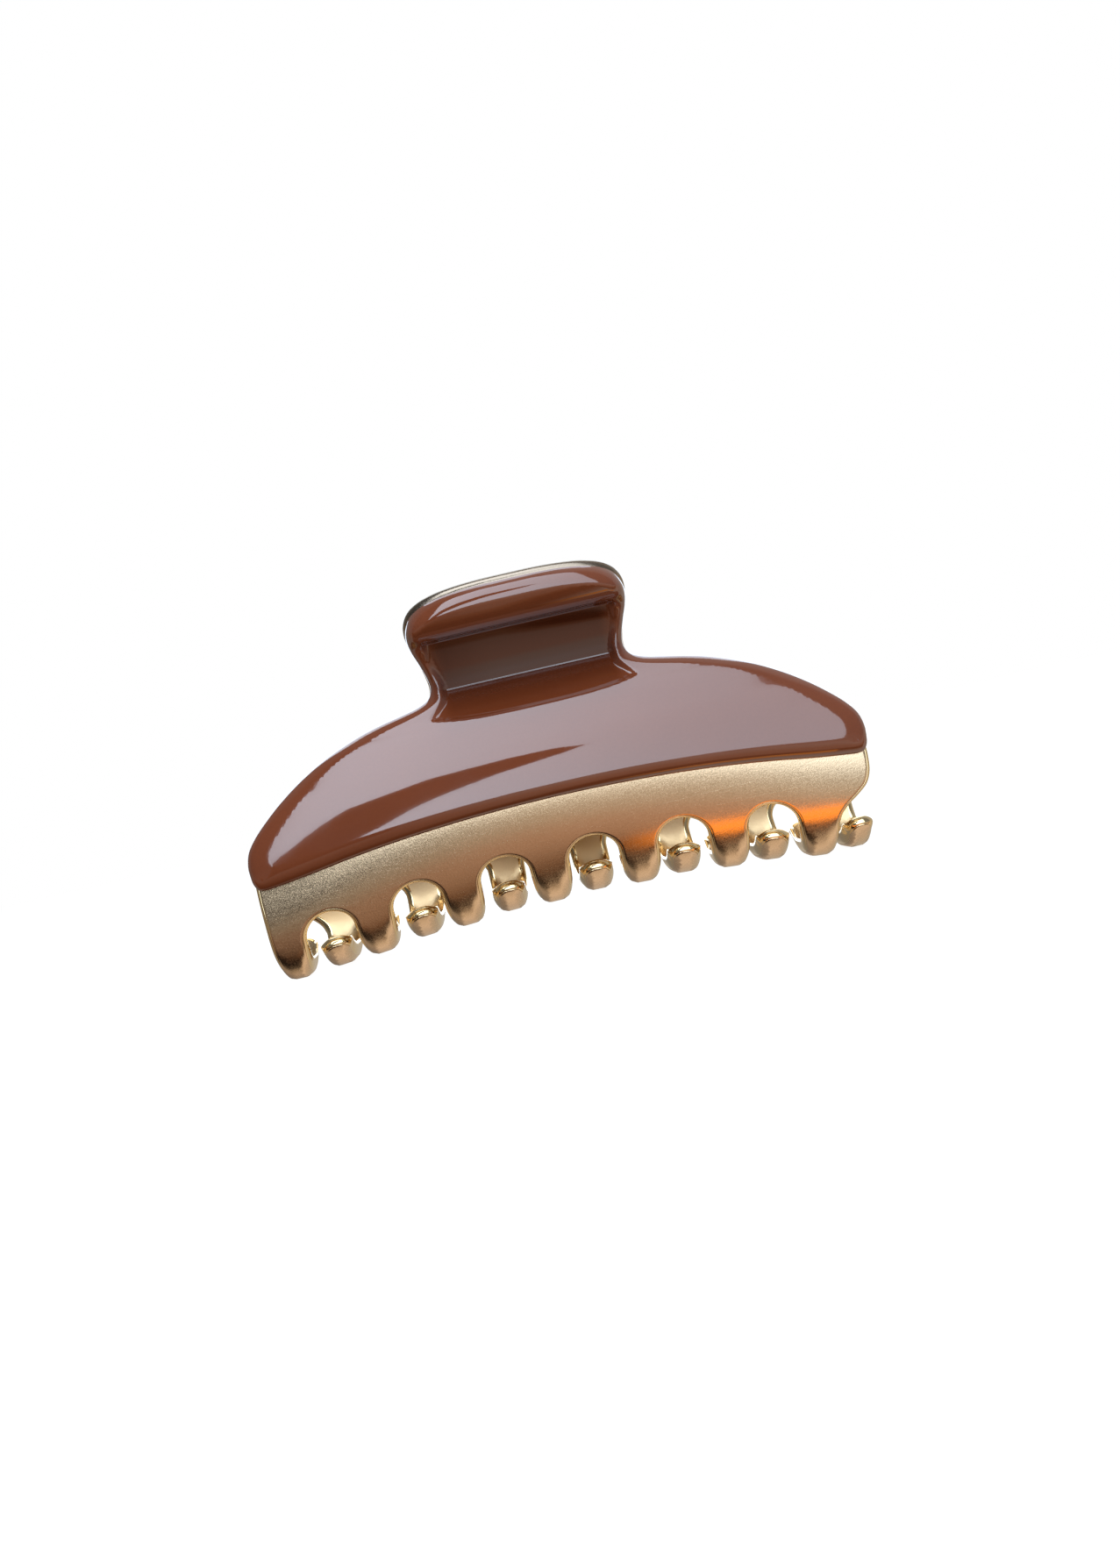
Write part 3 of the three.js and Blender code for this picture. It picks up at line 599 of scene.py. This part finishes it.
def pin_shell():
    sh = Shell()
    m = 56
    t = np.arange(m) * 2 * math.pi / m
    prof = []
    h, hr = PIN_HALF, HEAD_R
    for a in np.linspace(0, 1, 9):
        prof.append((0.05 + (hr * 0.86 - 0.05) * math.sin(a * math.pi / 2), -h - HEAD_T + 0.22 * (1 - math.cos(a * math.pi / 2))))
    prof += [(hr * 0.96, -h - HEAD_T * 0.55), (hr, -h - HEAD_T * 0.36), (hr, -h - 0.12), (hr - 0.1, -h), (PIN_R + 0.12, -h), (PIN_R, -h + 0.12)]
    prof += [(PIN_R, x) for x in np.linspace(-h + 0.8, h - 0.8, 22)]
    prof += [(r, -x) for r, x in prof[:15][::-1]]
    R = np.array([np.stack([np.full(m, x), r * np.cos(t), HINGE_Z + r * np.sin(t)], 1) for r, x in prof])
    nrm = ring_normals(R)
    c = np.array([0, 0, HINGE_Z])
    if (nrm[20] * (R[20] - c))[:, 1:].sum() < 0:
        nrm, flip = -nrm, True
    else:
        flip = False
    ids = [sh.points(r) for r in R]
    sh.rings(ids, nrm, [0] * (len(R) - 1), flip=flip)
    for side, ring in ((-1, ids[0]), (1, ids[-1])):
        x = side * (h + HEAD_T)
        mid = sh.points([[x, 0, HINGE_Z]])[0]
        for i in range(m):
            j = (i + 1) % m
            f = (ring[i], ring[j], mid)
            sh.face(f if side > 0 else f[::-1], [(side, 0, 0)] * 3)
    return sh


def spring_path():
    # the inner face of the front thumb tab, held clear of the wire
    p = bend(np.array([0.0]), np.array([63.0]), np.array([-PLATE - WIRE_R - 0.35]))[0]
    ly, lz = p[1], p[2] - HINGE_Z
    dist, aim, off = math.hypot(ly, lz), math.atan2(lz, ly), 0.0
    off = math.acos(COIL_R / dist)
    aF = aim - off
    sy, sz = COIL_R * math.cos(aF), COIL_R * math.sin(aF)
    pts = [(-COIL_HALF, sy + (ly - sy) * i / 24, sz + (lz - sz) * i / 24) for i in range(24, 0, -1)]
    turn = (math.pi - aF) - aF
    while turn > -2 * math.pi * (COIL_TURNS - 0.5):
        turn -= 2 * math.pi
    n = round(abs(turn) / (2 * math.pi) * 48)
    for i in range(n + 1):
        a, k = aF + turn * i / n, i / n
        # the wire runs level where a leg leaves, and climbs in between
        e = 0.06
        k = (k * k / (2 * e) if k < e else (k - e / 2 if k < 1 - e else 1 - e - (1 - k) ** 2 / (2 * e))) / (1 - e)
        pts.append((-COIL_HALF + 2 * COIL_HALF * k, COIL_R * math.cos(a), COIL_R * math.sin(a)))
    pts += [(COIL_HALF, -sy + (-ly + sy) * i / 24, sz + (lz - sz) * i / 24) for i in range(1, 25)]
    return np.array(pts) + [0, 0, HINGE_Z]


def spring_shell():
    sh = Shell()
    C = spring_path()
    T = unit(np.gradient(C, axis=0))
    m, r = 18, WIRE_R * 0.97
    u = unit(np.cross(T[0], [1.0, 0, 0]))
    rings, cuts = [], []
    for i in range(len(C)):
        u = unit(u - T[i] * (u @ T[i]))
        w = np.cross(T[i], u)
        t = np.arange(m) * 2 * math.pi / m
        cuts.append((u, w, t))
        rings.append(C[i] + r * (np.cos(t)[:, None] * u + np.sin(t)[:, None] * w))

    def cap(i, sign):
        u, w, t = cuts[i]
        return [C[i] + sign * T[i] * (0.3 * math.sin(a)) + (r - 0.3 + 0.3 * math.cos(a)) * (np.cos(t)[:, None] * u + np.sin(t)[:, None] * w) for a in (math.radians(30), math.radians(60), math.radians(90))]
    R = np.array(cap(0, -1)[::-1] + rings + cap(len(C) - 1, 1))
    nrm = ring_normals(R)
    k = len(R) // 2
    if (nrm[k] * (R[k] - R[k].mean(0))).sum() < 0:
        nrm, flip = -nrm, True
    else:
        flip = False
    ids = [sh.points(x) for x in R]
    sh.rings(ids, nrm, [0] * (len(R) - 1), flip=flip)
    for end, d in ((0, -T[0]), (-1, T[-1])):
        mid = sh.points([R[end].mean(0)])[0]
        ring = ids[end]
        for i in range(m):
            j = (i + 1) % m
            f = (ring[i], ring[j], mid)
            a, b, c = R[end][i], R[end][j], R[end].mean(0)
            if np.cross(b - a, c - a) @ d < 0:
                f = f[::-1]
            sh.face(f, [tuple(d)] * 3)
    return sh


# ---------- materials ----------
class Nodes:
    """A material's node tree, built by name."""

    def __init__(self, name):
        self.mat = bpy.data.materials.new(name)
        self.mat.use_nodes = True
        self.t = self.mat.node_tree
        self.t.nodes.clear()
        self.out = self.t.nodes.new("ShaderNodeOutputMaterial")
        self.p = self.t.nodes.new("ShaderNodeBsdfPrincipled")
        self.t.links.new(self.p.outputs[0], self.out.inputs["Surface"])
        self.tc = self.t.nodes.new("ShaderNodeTexCoord")

    def set(self, **kw):
        for k, v in kw.items():
            s = self.p.inputs[k.replace("_", " ")]
            s.default_value = v
        return self

    def link(self, a, b):
        self.t.links.new(a, b)

    def scaled(self, scale, rot=(0, 0, 0), coord=None):
        m = self.t.nodes.new("ShaderNodeMapping")
        m.inputs["Scale"].default_value = scale
        m.inputs["Rotation"].default_value = rot
        self.link(coord or self.tc.outputs["Object"], m.inputs["Vector"])
        return m.outputs["Vector"]

    def noise(self, scale, detail=2.0, rough=0.5, vec=None, distortion=0.0):
        n = self.t.nodes.new("ShaderNodeTexNoise")
        n.inputs["Scale"].default_value = scale
        n.inputs["Detail"].default_value = detail
        n.inputs["Roughness"].default_value = rough
        n.inputs["Distortion"].default_value = distortion
        self.link(vec or self.tc.outputs["Object"], n.inputs["Vector"])
        return n.outputs["Fac"]

    def ramp(self, fac, stops):
        r = self.t.nodes.new("ShaderNodeValToRGB")
        e = r.color_ramp.elements
        while len(e) > 1:
            e.remove(e[-1])
        e[0].position, e[0].color = stops[0][0], (*stops[0][1], 1)
        for pos, col in stops[1:]:
            x = e.new(pos)
            x.color = (*col, 1)
        self.link(fac, r.inputs["Fac"])
        return r.outputs["Color"]

    def map(self, fac, a, b, lo, hi):
        m = self.t.nodes.new("ShaderNodeMapRange")
        for k, v in (("From Min", a), ("From Max", b), ("To Min", lo), ("To Max", hi)):
            m.inputs[k].default_value = v
        self.link(fac, m.inputs["Value"])
        return m.outputs["Result"]

    def shade_handles(self, col):
        """Painted shade: the plating is made darker and greyer high on the handles, standing in for the dim room
        reflected there.
        """
        sep = self.t.nodes.new("ShaderNodeSeparateXYZ")
        self.link(self.tc.outputs["Object"], sep.inputs[0])
        handle_shade = self.soft(sep.outputs["Z"], 0.045, 0.052, 0.0, 1.0)
        return self.mix(1.0, col, self.mix(handle_shade, (1.0, 1.0, 1.0), (0.44, 0.47, 0.56)), "MULTIPLY")

    def soft(self, fac, a, b, lo, hi):
        m = self.t.nodes.new("ShaderNodeMapRange")
        m.interpolation_type = "SMOOTHSTEP"
        for k, v in (("From Min", a), ("From Max", b), ("To Min", lo), ("To Max", hi)):
            m.inputs[k].default_value = v
        self.link(fac, m.inputs["Value"])
        return m.outputs["Result"]

    def math(self, op, a, b=None):
        m = self.t.nodes.new("ShaderNodeMath")
        m.operation = op
        for i, v in enumerate((a, b)):
            if v is None:
                continue
            if isinstance(v, (int, float)):
                m.inputs[i].default_value = v
            else:
                self.link(v, m.inputs[i])
        return m.outputs[0]

    def mix(self, fac, a, b, mode="MIX"):
        m = self.t.nodes.new("ShaderNodeMix")
        m.data_type, m.blend_type = "RGBA", mode
        for s, v in ((m.inputs[0], fac), (m.inputs[6], a), (m.inputs[7], b)):
            if isinstance(v, (int, float)):
                s.default_value = v
            elif isinstance(v, tuple):
                s.default_value = (*v, 1)
            else:
                self.link(v, s)
        return m.outputs[2]

    def bump(self, height, strength, distance, normal=None):
        b = self.t.nodes.new("ShaderNodeBump")
        b.inputs["Strength"].default_value = strength
        b.inputs["Distance"].default_value = distance
        self.link(height, b.inputs["Height"])
        if normal:
            self.link(normal, b.inputs["Normal"])
        return b.outputs["Normal"]


def brown_cover():
    """Glossy lacquered brown: a little clouding in the colour, the faint waviness of a moulded, coated face, and
    painted shade darkening the thumb recess.
    """
    n = Nodes("cover_gloss_brown")
    n.set(IOR=1.5, Metallic=0.0)
    n.p.inputs["Coat Weight"].default_value = 1.0
    n.p.inputs["Coat Roughness"].default_value = 0.03
    n.p.inputs["Coat IOR"].default_value = 1.6
    cloud = n.noise(38, 3, 0.55)
    col = n.ramp(cloud, [(0.25, BROWN_DARK), (0.75, BROWN_LIGHT)])
    fleck = n.ramp(n.noise(2600, 1, 0.5), [(0.0, (0.94, 0.93, 0.92)), (0.55, (1.0, 1.0, 1.0)), (1.0, (1.05, 1.05, 1.05))])
    # painted shade: the base colour is darkened in the thumb recess, under the overhanging bead
    sep = n.t.nodes.new("ShaderNodeSeparateXYZ")
    n.link(n.tc.outputs["Object"], sep.inputs[0])
    across = n.soft(n.math("ABSOLUTE", sep.outputs["X"]), 0.0125, 0.0172, 1.0, 0.0)
    recess_shade = n.math("MULTIPLY", across, n.math("MULTIPLY", n.soft(sep.outputs["Z"], 0.0315, 0.0420, 0.0, 1.0), n.soft(sep.outputs["Z"], 0.0470, 0.0492, 1.0, 0.0)))
    recess_shade_tint = n.mix(recess_shade, (1.0, 1.0, 1.0), (0.27, 0.21, 0.20))
    n.link(n.mix(1.0, n.mix(1.0, col, fleck, "MULTIPLY"), recess_shade_tint, "MULTIPLY"), n.p.inputs["Base Color"])
    n.link(n.map(n.noise(90, 3, 0.6), 0.3, 0.7, 0.07, 0.13), n.p.inputs["Roughness"])
    wave = n.noise(42, 1.0, 0.4)
    peel = n.noise(260, 2.0, 0.5)
    low = n.bump(wave, 0.25, 0.0004)
    n.link(n.bump(peel, 0.05, 0.0002, low), n.p.inputs["Normal"])
    n.link(n.bump(peel, 0.022, 0.0002, low), n.p.inputs["Coat Normal"])
    return n.mat


def gold_satin():
    """Satin plating: a fine blasted grain, faint hairline rubs and a slow drift in tone."""
    n = Nodes("plating_satin_gold")
    n.set(Metallic=1.0)
    drift = n.noise(30, 3, 0.6)
    col = n.ramp(drift, [(0.25, GOLD_DARK), (0.75, GOLD_LIGHT)])
    grain = n.noise(3800, 2, 0.6)
    rub = n.noise(1.0, 2.0, 0.5, n.scaled((260, 260, 2600), (0.0, 0.35, 0.0)))
    speck = n.ramp(grain, [(0.3, (0.9, 0.9, 0.9)), (0.7, (1.06, 1.06, 1.06))])
    # painted shade: the colour is made darker and greyer high on the handles
    n.link(n.shade_handles(n.mix(1.0, col, speck, "MULTIPLY")), n.p.inputs["Base Color"])
    rough = n.math("ADD", n.map(grain, 0.3, 0.7, SATIN_ROUGH - 0.04, SATIN_ROUGH + 0.04), n.map(rub, 0.35, 0.65, -0.012, 0.012))
    n.link(rough, n.p.inputs["Roughness"])
    # a few hairline scratches
    line = n.noise(1.0, 1.0, 0.3, n.scaled((34, 34, 900), (0.0, 0.95, 0.0)), 0.4)
    hair = n.math("GREATER_THAN", line, 0.765)
    b = n.bump(grain, 0.16, 0.00006)
    b = n.bump(rub, 0.014, 0.0001, b)
    n.link(n.bump(hair, 0.12, 0.00004, b), n.p.inputs["Normal"])
    return n.mat


def gold_polished():
    """The same plating where the mould was polished: the jaws' edges and tips, and the hinge lugs."""
    n = Nodes("plating_polished_gold")
    n.set(Metallic=1.0)
    col = n.ramp(n.noise(45, 3, 0.6), [(0.25, POLISH_DARK), (0.75, POLISH_LIGHT)])
    n.link(col, n.p.inputs["Base Color"])
    n.link(n.map(n.noise(500, 3, 0.6), 0.3, 0.7, 0.09, 0.17), n.p.inputs["Roughness"])
    b = n.bump(n.noise(120, 2, 0.5), 0.12, 0.0003)
    n.link(n.bump(n.noise(1600, 2, 0.5), 0.05, 0.00005, b), n.p.inputs["Normal"])
    return n.mat


def gold_inside():
    """The plating on the inside faces: bright but softer, with faint flow marks."""
    n = Nodes("plating_inside_gold")
    n.set(Metallic=1.0)
    # painted shade: the colour is made darker and greyer high on the handles
    n.link(n.shade_handles(n.ramp(n.noise(40, 3, 0.6), [(0.25, (0.74, 0.53, 0.29)), (0.75, (0.80, 0.58, 0.33))])), n.p.inputs["Base Color"])
    n.link(n.map(n.noise(420, 3, 0.6), 0.3, 0.7, 0.30, 0.38), n.p.inputs["Roughness"])
    n.link(n.bump(n.noise(900, 2, 0.5), 0.08, 0.00006), n.p.inputs["Normal"])
    return n.mat


def drawn_steel(name, along):
    """Bright drawn steel, with fine lines along the wire or pin."""
    n = Nodes(name)
    n.set(Metallic=1.0)
    lines = n.noise(1.0, 2.0, 0.6, n.scaled((300, 5200, 5200) if along else (5200, 700, 700)))
    n.link(n.ramp(lines, [(0.3, (0.46, 0.46, 0.47)), (0.7, (0.62, 0.61, 0.60))]), n.p.inputs["Base Color"])
    n.link(n.map(lines, 0.3, 0.7, 0.2, 0.34), n.p.inputs["Roughness"])
    n.link(n.bump(lines, 0.1, 0.00004), n.p.inputs["Normal"])
    return n.mat


BROWN_DARK, BROWN_LIGHT = (0.180, 0.041, 0.013), (0.212, 0.051, 0.018)
GOLD_DARK, GOLD_LIGHT = (0.79, 0.59, 0.375), (0.85, 0.645, 0.42)
POLISH_DARK, POLISH_LIGHT = (0.84, 0.64, 0.34), (0.90, 0.71, 0.41)
SATIN_ROUGH = 0.23

# ---------- the object ----------
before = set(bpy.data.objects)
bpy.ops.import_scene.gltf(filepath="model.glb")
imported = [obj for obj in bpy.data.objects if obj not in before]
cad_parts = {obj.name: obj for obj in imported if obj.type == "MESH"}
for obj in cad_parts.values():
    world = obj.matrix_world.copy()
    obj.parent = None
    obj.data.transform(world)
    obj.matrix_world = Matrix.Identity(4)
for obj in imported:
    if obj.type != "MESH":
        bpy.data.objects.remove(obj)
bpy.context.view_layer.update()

SATIN, POLISH, INSIDE, BROWN = gold_satin(), gold_polished(), gold_inside(), brown_cover()
PIN_STEEL, WIRE_STEEL = drawn_steel("steel_pin", True), drawn_steel("steel_wire", False)

plate, cover = jaw_plate(), cover_shell()
lugs = [lug_shell(a, b) for a, b in LUGS]
for body, turned in (("front_jaw", False), ("back_jaw", True)):
    side = body.split("_")[0]
    o = plate.object(side + "_frame", [SATIN, POLISH, INSIDE], turned)
    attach(o, body)
    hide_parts(side + "_jaw_frame")
    o = cover.object(side + "_cover_shell", [BROWN], turned)
    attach(o, body)
    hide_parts(side + "_cover")
    for i, lug in enumerate(lugs):
        o = lug.object(side + "_hinge_lug_" + "ab"[i], [POLISH], turned)
        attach(o, body)
pin = pin_shell().object("pin", [PIN_STEEL])
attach(pin, "front_jaw")
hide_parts("hinge_pin")
spring = spring_shell().object("spring", [WIRE_STEEL])
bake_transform(spring)
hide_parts("torsion_spring")

# ---------- camera ----------
YAW, ELEV, ROLL = math.radians(1.305), math.radians(0.6), math.radians(13.05)
DIST, SHIFT_X, SHIFT_Z, SCALE = 290.0, 1.13, 21.31, 6.844
d = np.array([-math.sin(YAW) * math.cos(ELEV), -math.cos(YAW) * math.cos(ELEV), math.sin(ELEV)])
right = np.array([math.cos(YAW), -math.sin(YAW), 0.0])
up = np.cross(right, -d)
place = (d * DIST + right * SHIFT_X + up * SHIFT_Z) * MM
rx = right * math.cos(ROLL) - up * math.sin(ROLL)
ry = right * math.sin(ROLL) + up * math.cos(ROLL)
cam = bpy.data.objects.new("camera", bpy.data.cameras.new("camera"))
cam.data.sensor_fit, cam.data.sensor_width = "AUTO", 24.0
cam.data.lens = 24.0 * SCALE * DIST / 1788
cam.data.clip_start, cam.data.clip_end = 0.01, 20.0
cam.matrix_world = Matrix([(rx[0], ry[0], d[0], place[0]), (rx[1], ry[1], d[1], place[1]), (rx[2], ry[2], d[2], place[2]), (0, 0, 0, 1)])
bpy.context.scene.collection.objects.link(cam)
bpy.context.scene.camera = cam
bpy.context.scene.view_settings.view_transform = "Standard"


# ---------- stage and light ----------
def only_seen_by(o, *kinds):
    for k in ("camera", "diffuse", "glossy", "transmission", "volume_scatter", "shadow"):
        setattr(o, "visible_" + k, k in kinds)
    return o


def plain(name, colour, glow, albedo, fall=None):
    """A stage surface: a matte colour with an even glow."""
    m = bpy.data.materials.new(name)
    m.use_nodes = True
    t = m.node_tree
    t.nodes.clear()
    out = t.nodes.new("ShaderNodeOutputMaterial")
    e = t.nodes.new("ShaderNodeEmission")
    e.inputs["Color"].default_value = (*colour, 1)
    e.inputs["Strength"].default_value = glow
    if fall:
        c = t.nodes.new("ShaderNodeTexCoord")
        x = t.nodes.new("ShaderNodeSeparateXYZ")
        f = t.nodes.new("ShaderNodeMapRange")
        f.interpolation_type = "SMOOTHSTEP"
        for k, v in zip(("From Min", "From Max", "To Min", "To Max"), (fall[0], fall[1], glow * fall[2], glow * fall[3])):
            f.inputs[k].default_value = v
        t.links.new(c.outputs["Object"], x.inputs[0])
        t.links.new(x.outputs["X"], f.inputs["Value"])
        t.links.new(f.outputs["Result"], e.inputs["Strength"])
    if albedo is None:
        t.links.new(e.outputs[0], out.inputs["Surface"])
        return m
    b = t.nodes.new("ShaderNodeBsdfDiffuse")
    b.inputs["Color"].default_value = (albedo,) * 3 + (1,)
    add = t.nodes.new("ShaderNodeAddShader")
    t.links.new(e.outputs[0], add.inputs[0])
    t.links.new(b.outputs[0], add.inputs[1])
    t.links.new(add.outputs[0], out.inputs["Surface"])
    return m


def direction(az, el):
    """Azimuth 0 is the viewer's side (-Y), positive to +X; elevation above the horizon."""
    a, e = math.radians(az), math.radians(el)
    return np.array([math.sin(a) * math.cos(e), -math.cos(a) * math.cos(e), math.sin(e)])


def card(name, outline, radius, colour, strength, *kinds, fall=None):
    """A curved panel on a sphere round the clip: outline is a list of (azimuth, elevation)."""
    poly = np.array(outline, float)
    if (np.roll(poly, -1, 0)[:, 0] * poly[:, 1] - poly[:, 0] * np.roll(poly, -1, 0)[:, 1]).sum() > 0:
        poly = poly[::-1]
    edge = np.array(resample([tuple(p) for p in poly] + [tuple(poly[0])], 4.0))
    extra = hexgrid(edge, 6.0, 2.0)
    pts, tri = triangulate(edge, extra)
    me = bpy.data.meshes.new(name)
    c = np.array([0, 0, 0.026])
    me.from_pydata([tuple(c + direction(a, e) * radius) for a, e in pts], [], [tuple(int(i) for i in t) for t in tri])
    me.materials.append(plain(name, colour, strength, None, fall))
    o = bpy.data.objects.new(name, me)
    bpy.context.scene.collection.objects.link(o)
    return only_seen_by(o, *kinds)


def disc(name, radius, mat):
    me = bpy.data.meshes.new(name)
    k = 96
    me.from_pydata([(0, 0, 0)] + [(radius * math.cos(2 * math.pi * i / k), radius * math.sin(2 * math.pi * i / k), 0) for i in range(k)], [], [(0, 1 + i, 1 + (i + 1) % k) for i in range(k)])
    me.materials.append(mat)
    o = bpy.data.objects.new(name, me)
    bpy.context.scene.collection.objects.link(o)
    return o


floor = only_seen_by(disc("floor", 3.0, plain("floor", (1, 1, 1), 0.97, 0.12)), "camera")
dome_me = bpy.data.meshes.new("backdrop")
U, V = 48, 24
dome_me.from_pydata(
    [tuple(3.0 * direction(360 * i / U, -90 + 180 * j / V)) for j in range(V + 1) for i in range(U)], [],
    [(j * U + i, j * U + (i + 1) % U, (j + 1) * U + (i + 1) % U, (j + 1) * U + i) for j in range(V) for i in range(U)])
dome_me.materials.append(plain("backdrop", (1, 1, 1), 1.0, None))
dome = bpy.data.objects.new("backdrop", dome_me)
bpy.context.scene.collection.objects.link(dome)
only_seen_by(dome, "camera")

# the big soft window in front, and its like behind
COOL = (0.76, 0.87, 1.0)
card("window", [(-36, 55), (-30, 30), (-27, 0), (-26.5, -1), (-12, -10.5), (0, -14.5), (14, -12.5), (29.5, -6), (31, 0), (33, 30), (39, 55), (51, 71.5), (20, 79.5), (-20, 79.5), (-45, 72.5)], 0.9, COOL, 3.5, "glossy", "diffuse", fall=(-0.35, 0.42, 1.12, 0.72))
card("flag", [(-32, -20), (-28, -2), (-25.5, 10), (-22, 24), (-14, 35), (-4, 38.5), (2, 38), (6, 33), (3, 29), (-5, 21), (-13, 9), (-17, 0), (-18, -5), (-15, -12), (-14, -20)], 0.7, (0.3, 0.26, 0.24), 0.12, "glossy")
card("window_back", [(150, -6), (150, 35), (140, 60), (180, 74), (220, 60), (210, 35), (210, -6)], 0.9, COOL, 2.2, "glossy", "diffuse")

# the room: bright above, dim in front below, bright again under and behind
world = bpy.data.worlds.new("room")
world.use_nodes = True
bpy.context.scene.world = world
wt = world.node_tree
wt.nodes.clear()
wo = wt.nodes.new("ShaderNodeOutputWorld")
wb = wt.nodes.new("ShaderNodeBackground")
wt.links.new(wb.outputs[0], wo.inputs["Surface"])
tc = wt.nodes.new("ShaderNodeTexCoord")
sep = wt.nodes.new("ShaderNodeSeparateXYZ")
wt.links.new(tc.outputs["Generated"], sep.inputs[0])


def wmath(op, a, b=None):
    m = wt.nodes.new("ShaderNodeMath")
    m.operation = op
    for i, v in enumerate((a, b)):
        if isinstance(v, (int, float)):
            m.inputs[i].default_value = v
        elif v is not None:
            wt.links.new(v, m.inputs[i])
    return m.outputs[0]


def wrange(v, a, b, lo, hi):
    m = wt.nodes.new("ShaderNodeMapRange")
    for k, q in (("From Min", a), ("From Max", b), ("To Min", lo), ("To Max", hi)):
        m.inputs[k].default_value = q
    wt.links.new(v, m.inputs["Value"])
    return m.outputs["Result"]


pitch = wmath("ARCTAN2", sep.outputs["Z"], wmath("MULTIPLY", sep.outputs["Y"], -1.0))
pitch = wmath("SUBTRACT", pitch, wmath("MULTIPLY", wrange(sep.outputs["X"], 0.0, 0.16, 0.0, 0.5), wrange(pitch, -1.0, -0.78, 1.0, 0.0)))
turn = wmath("ADD", wmath("DIVIDE", pitch, 2 * math.pi), 0.5)
ramp = wt.nodes.new("ShaderNodeValToRGB")
ramp.color_ramp.interpolation = "EASE"
stops = [(-180, (0.50, 0.45, 0.38)), (-140, (0.60, 0.50, 0.42)), (-117, (0.82, 0.67, 0.56)), (-100, (0.68, 0.55, 0.43)), (-91, (0.25, 0.18, 0.13)), (-84, (0.045, 0.022, 0.010)), (-71, (0.035, 0.014, 0.006)), (-62, (0.24, 0.11, 0.055)), (-54, (0.40, 0.25, 0.18)), (-36, (0.50, 0.31, 0.23)), (-27, (0.50, 0.42, 0.35)), (-19, (0.54, 0.50, 0.455)), (-8, (0.29, 0.28, 0.27)), (2, (0.20, 0.20, 0.205)), (75, (0.22, 0.22, 0.23)), (95, (0.42, 0.42, 0.42)), (150, (0.45, 0.44, 0.43)), (180, (0.50, 0.45, 0.38))]
el = ramp.color_ramp.elements
el[0].position, el[0].color = 0.0, (*stops[0][1], 1)
el[1].position, el[1].color = 1.0, (*stops[-1][1], 1)
for deg, colr in stops[1:-1]:
    x = el.new(deg / 360 + 0.5)
    x.color = (*colr, 1)
wt.links.new(turn, ramp.inputs["Fac"])
wt.links.new(ramp.outputs["Color"], wb.inputs["Color"])
# dimmer to the left, and little bounce from below for matte surfaces
left = wrange(sep.outputs["X"], -0.18, -0.03, 0.45, 1.0)
path = wt.nodes.new("ShaderNodeLightPath")
below = wrange(sep.outputs["Z"], -0.35, 0.15, 0.16, 1.0)
soft = wmath("ADD", wmath("MULTIPLY", path.outputs["Is Diffuse Ray"], wmath("SUBTRACT", below, 1.0)), 1.0)
# and dimmer still low on the left, where the room falls into shade
shade = wmath("MULTIPLY", wrange(sep.outputs["X"], -0.21, -0.05, 0.72, 0.0), wmath("MULTIPLY", wrange(pitch, -1.12, -0.62, 1.0, 0.0), wrange(pitch, -1.80, -1.62, 0.0, 1.0)))
left = wmath("MULTIPLY", left, wmath("SUBTRACT", 1.0, shade))
wt.links.new(wmath("MULTIPLY", left, soft), wb.inputs["Strength"])

# a small warm lamp low on the right, close to the teeth
xs, rows = np.linspace(3.0, 46.0, 16), np.array([12.9, 13.7, 14.5, 15.3])
X, S = np.meshgrid(xs, rows, indexing="ij")
p, n = base(X, S), normal_at(X, S)
v = unit(p - place / MM)
q = p + (v - 2 * (v * n).sum(-1, keepdims=True) * n) * 22
me = bpy.data.meshes.new("warm")
me.from_pydata([tuple(a * MM) for a in q.reshape(-1, 3)], [], [(i * 4 + j, i * 4 + 4 + j, i * 4 + 5 + j, i * 4 + 1 + j) for i in range(15) for j in range(3)])
me.materials.append(plain("warm", (1.0, 0.32, 0.042), 1.75, None, (0.004, 0.026, 0.0, 1.0)))
warm = bpy.data.objects.new("warm", me)
bpy.context.scene.collection.objects.link(warm)
only_seen_by(warm, "glossy")
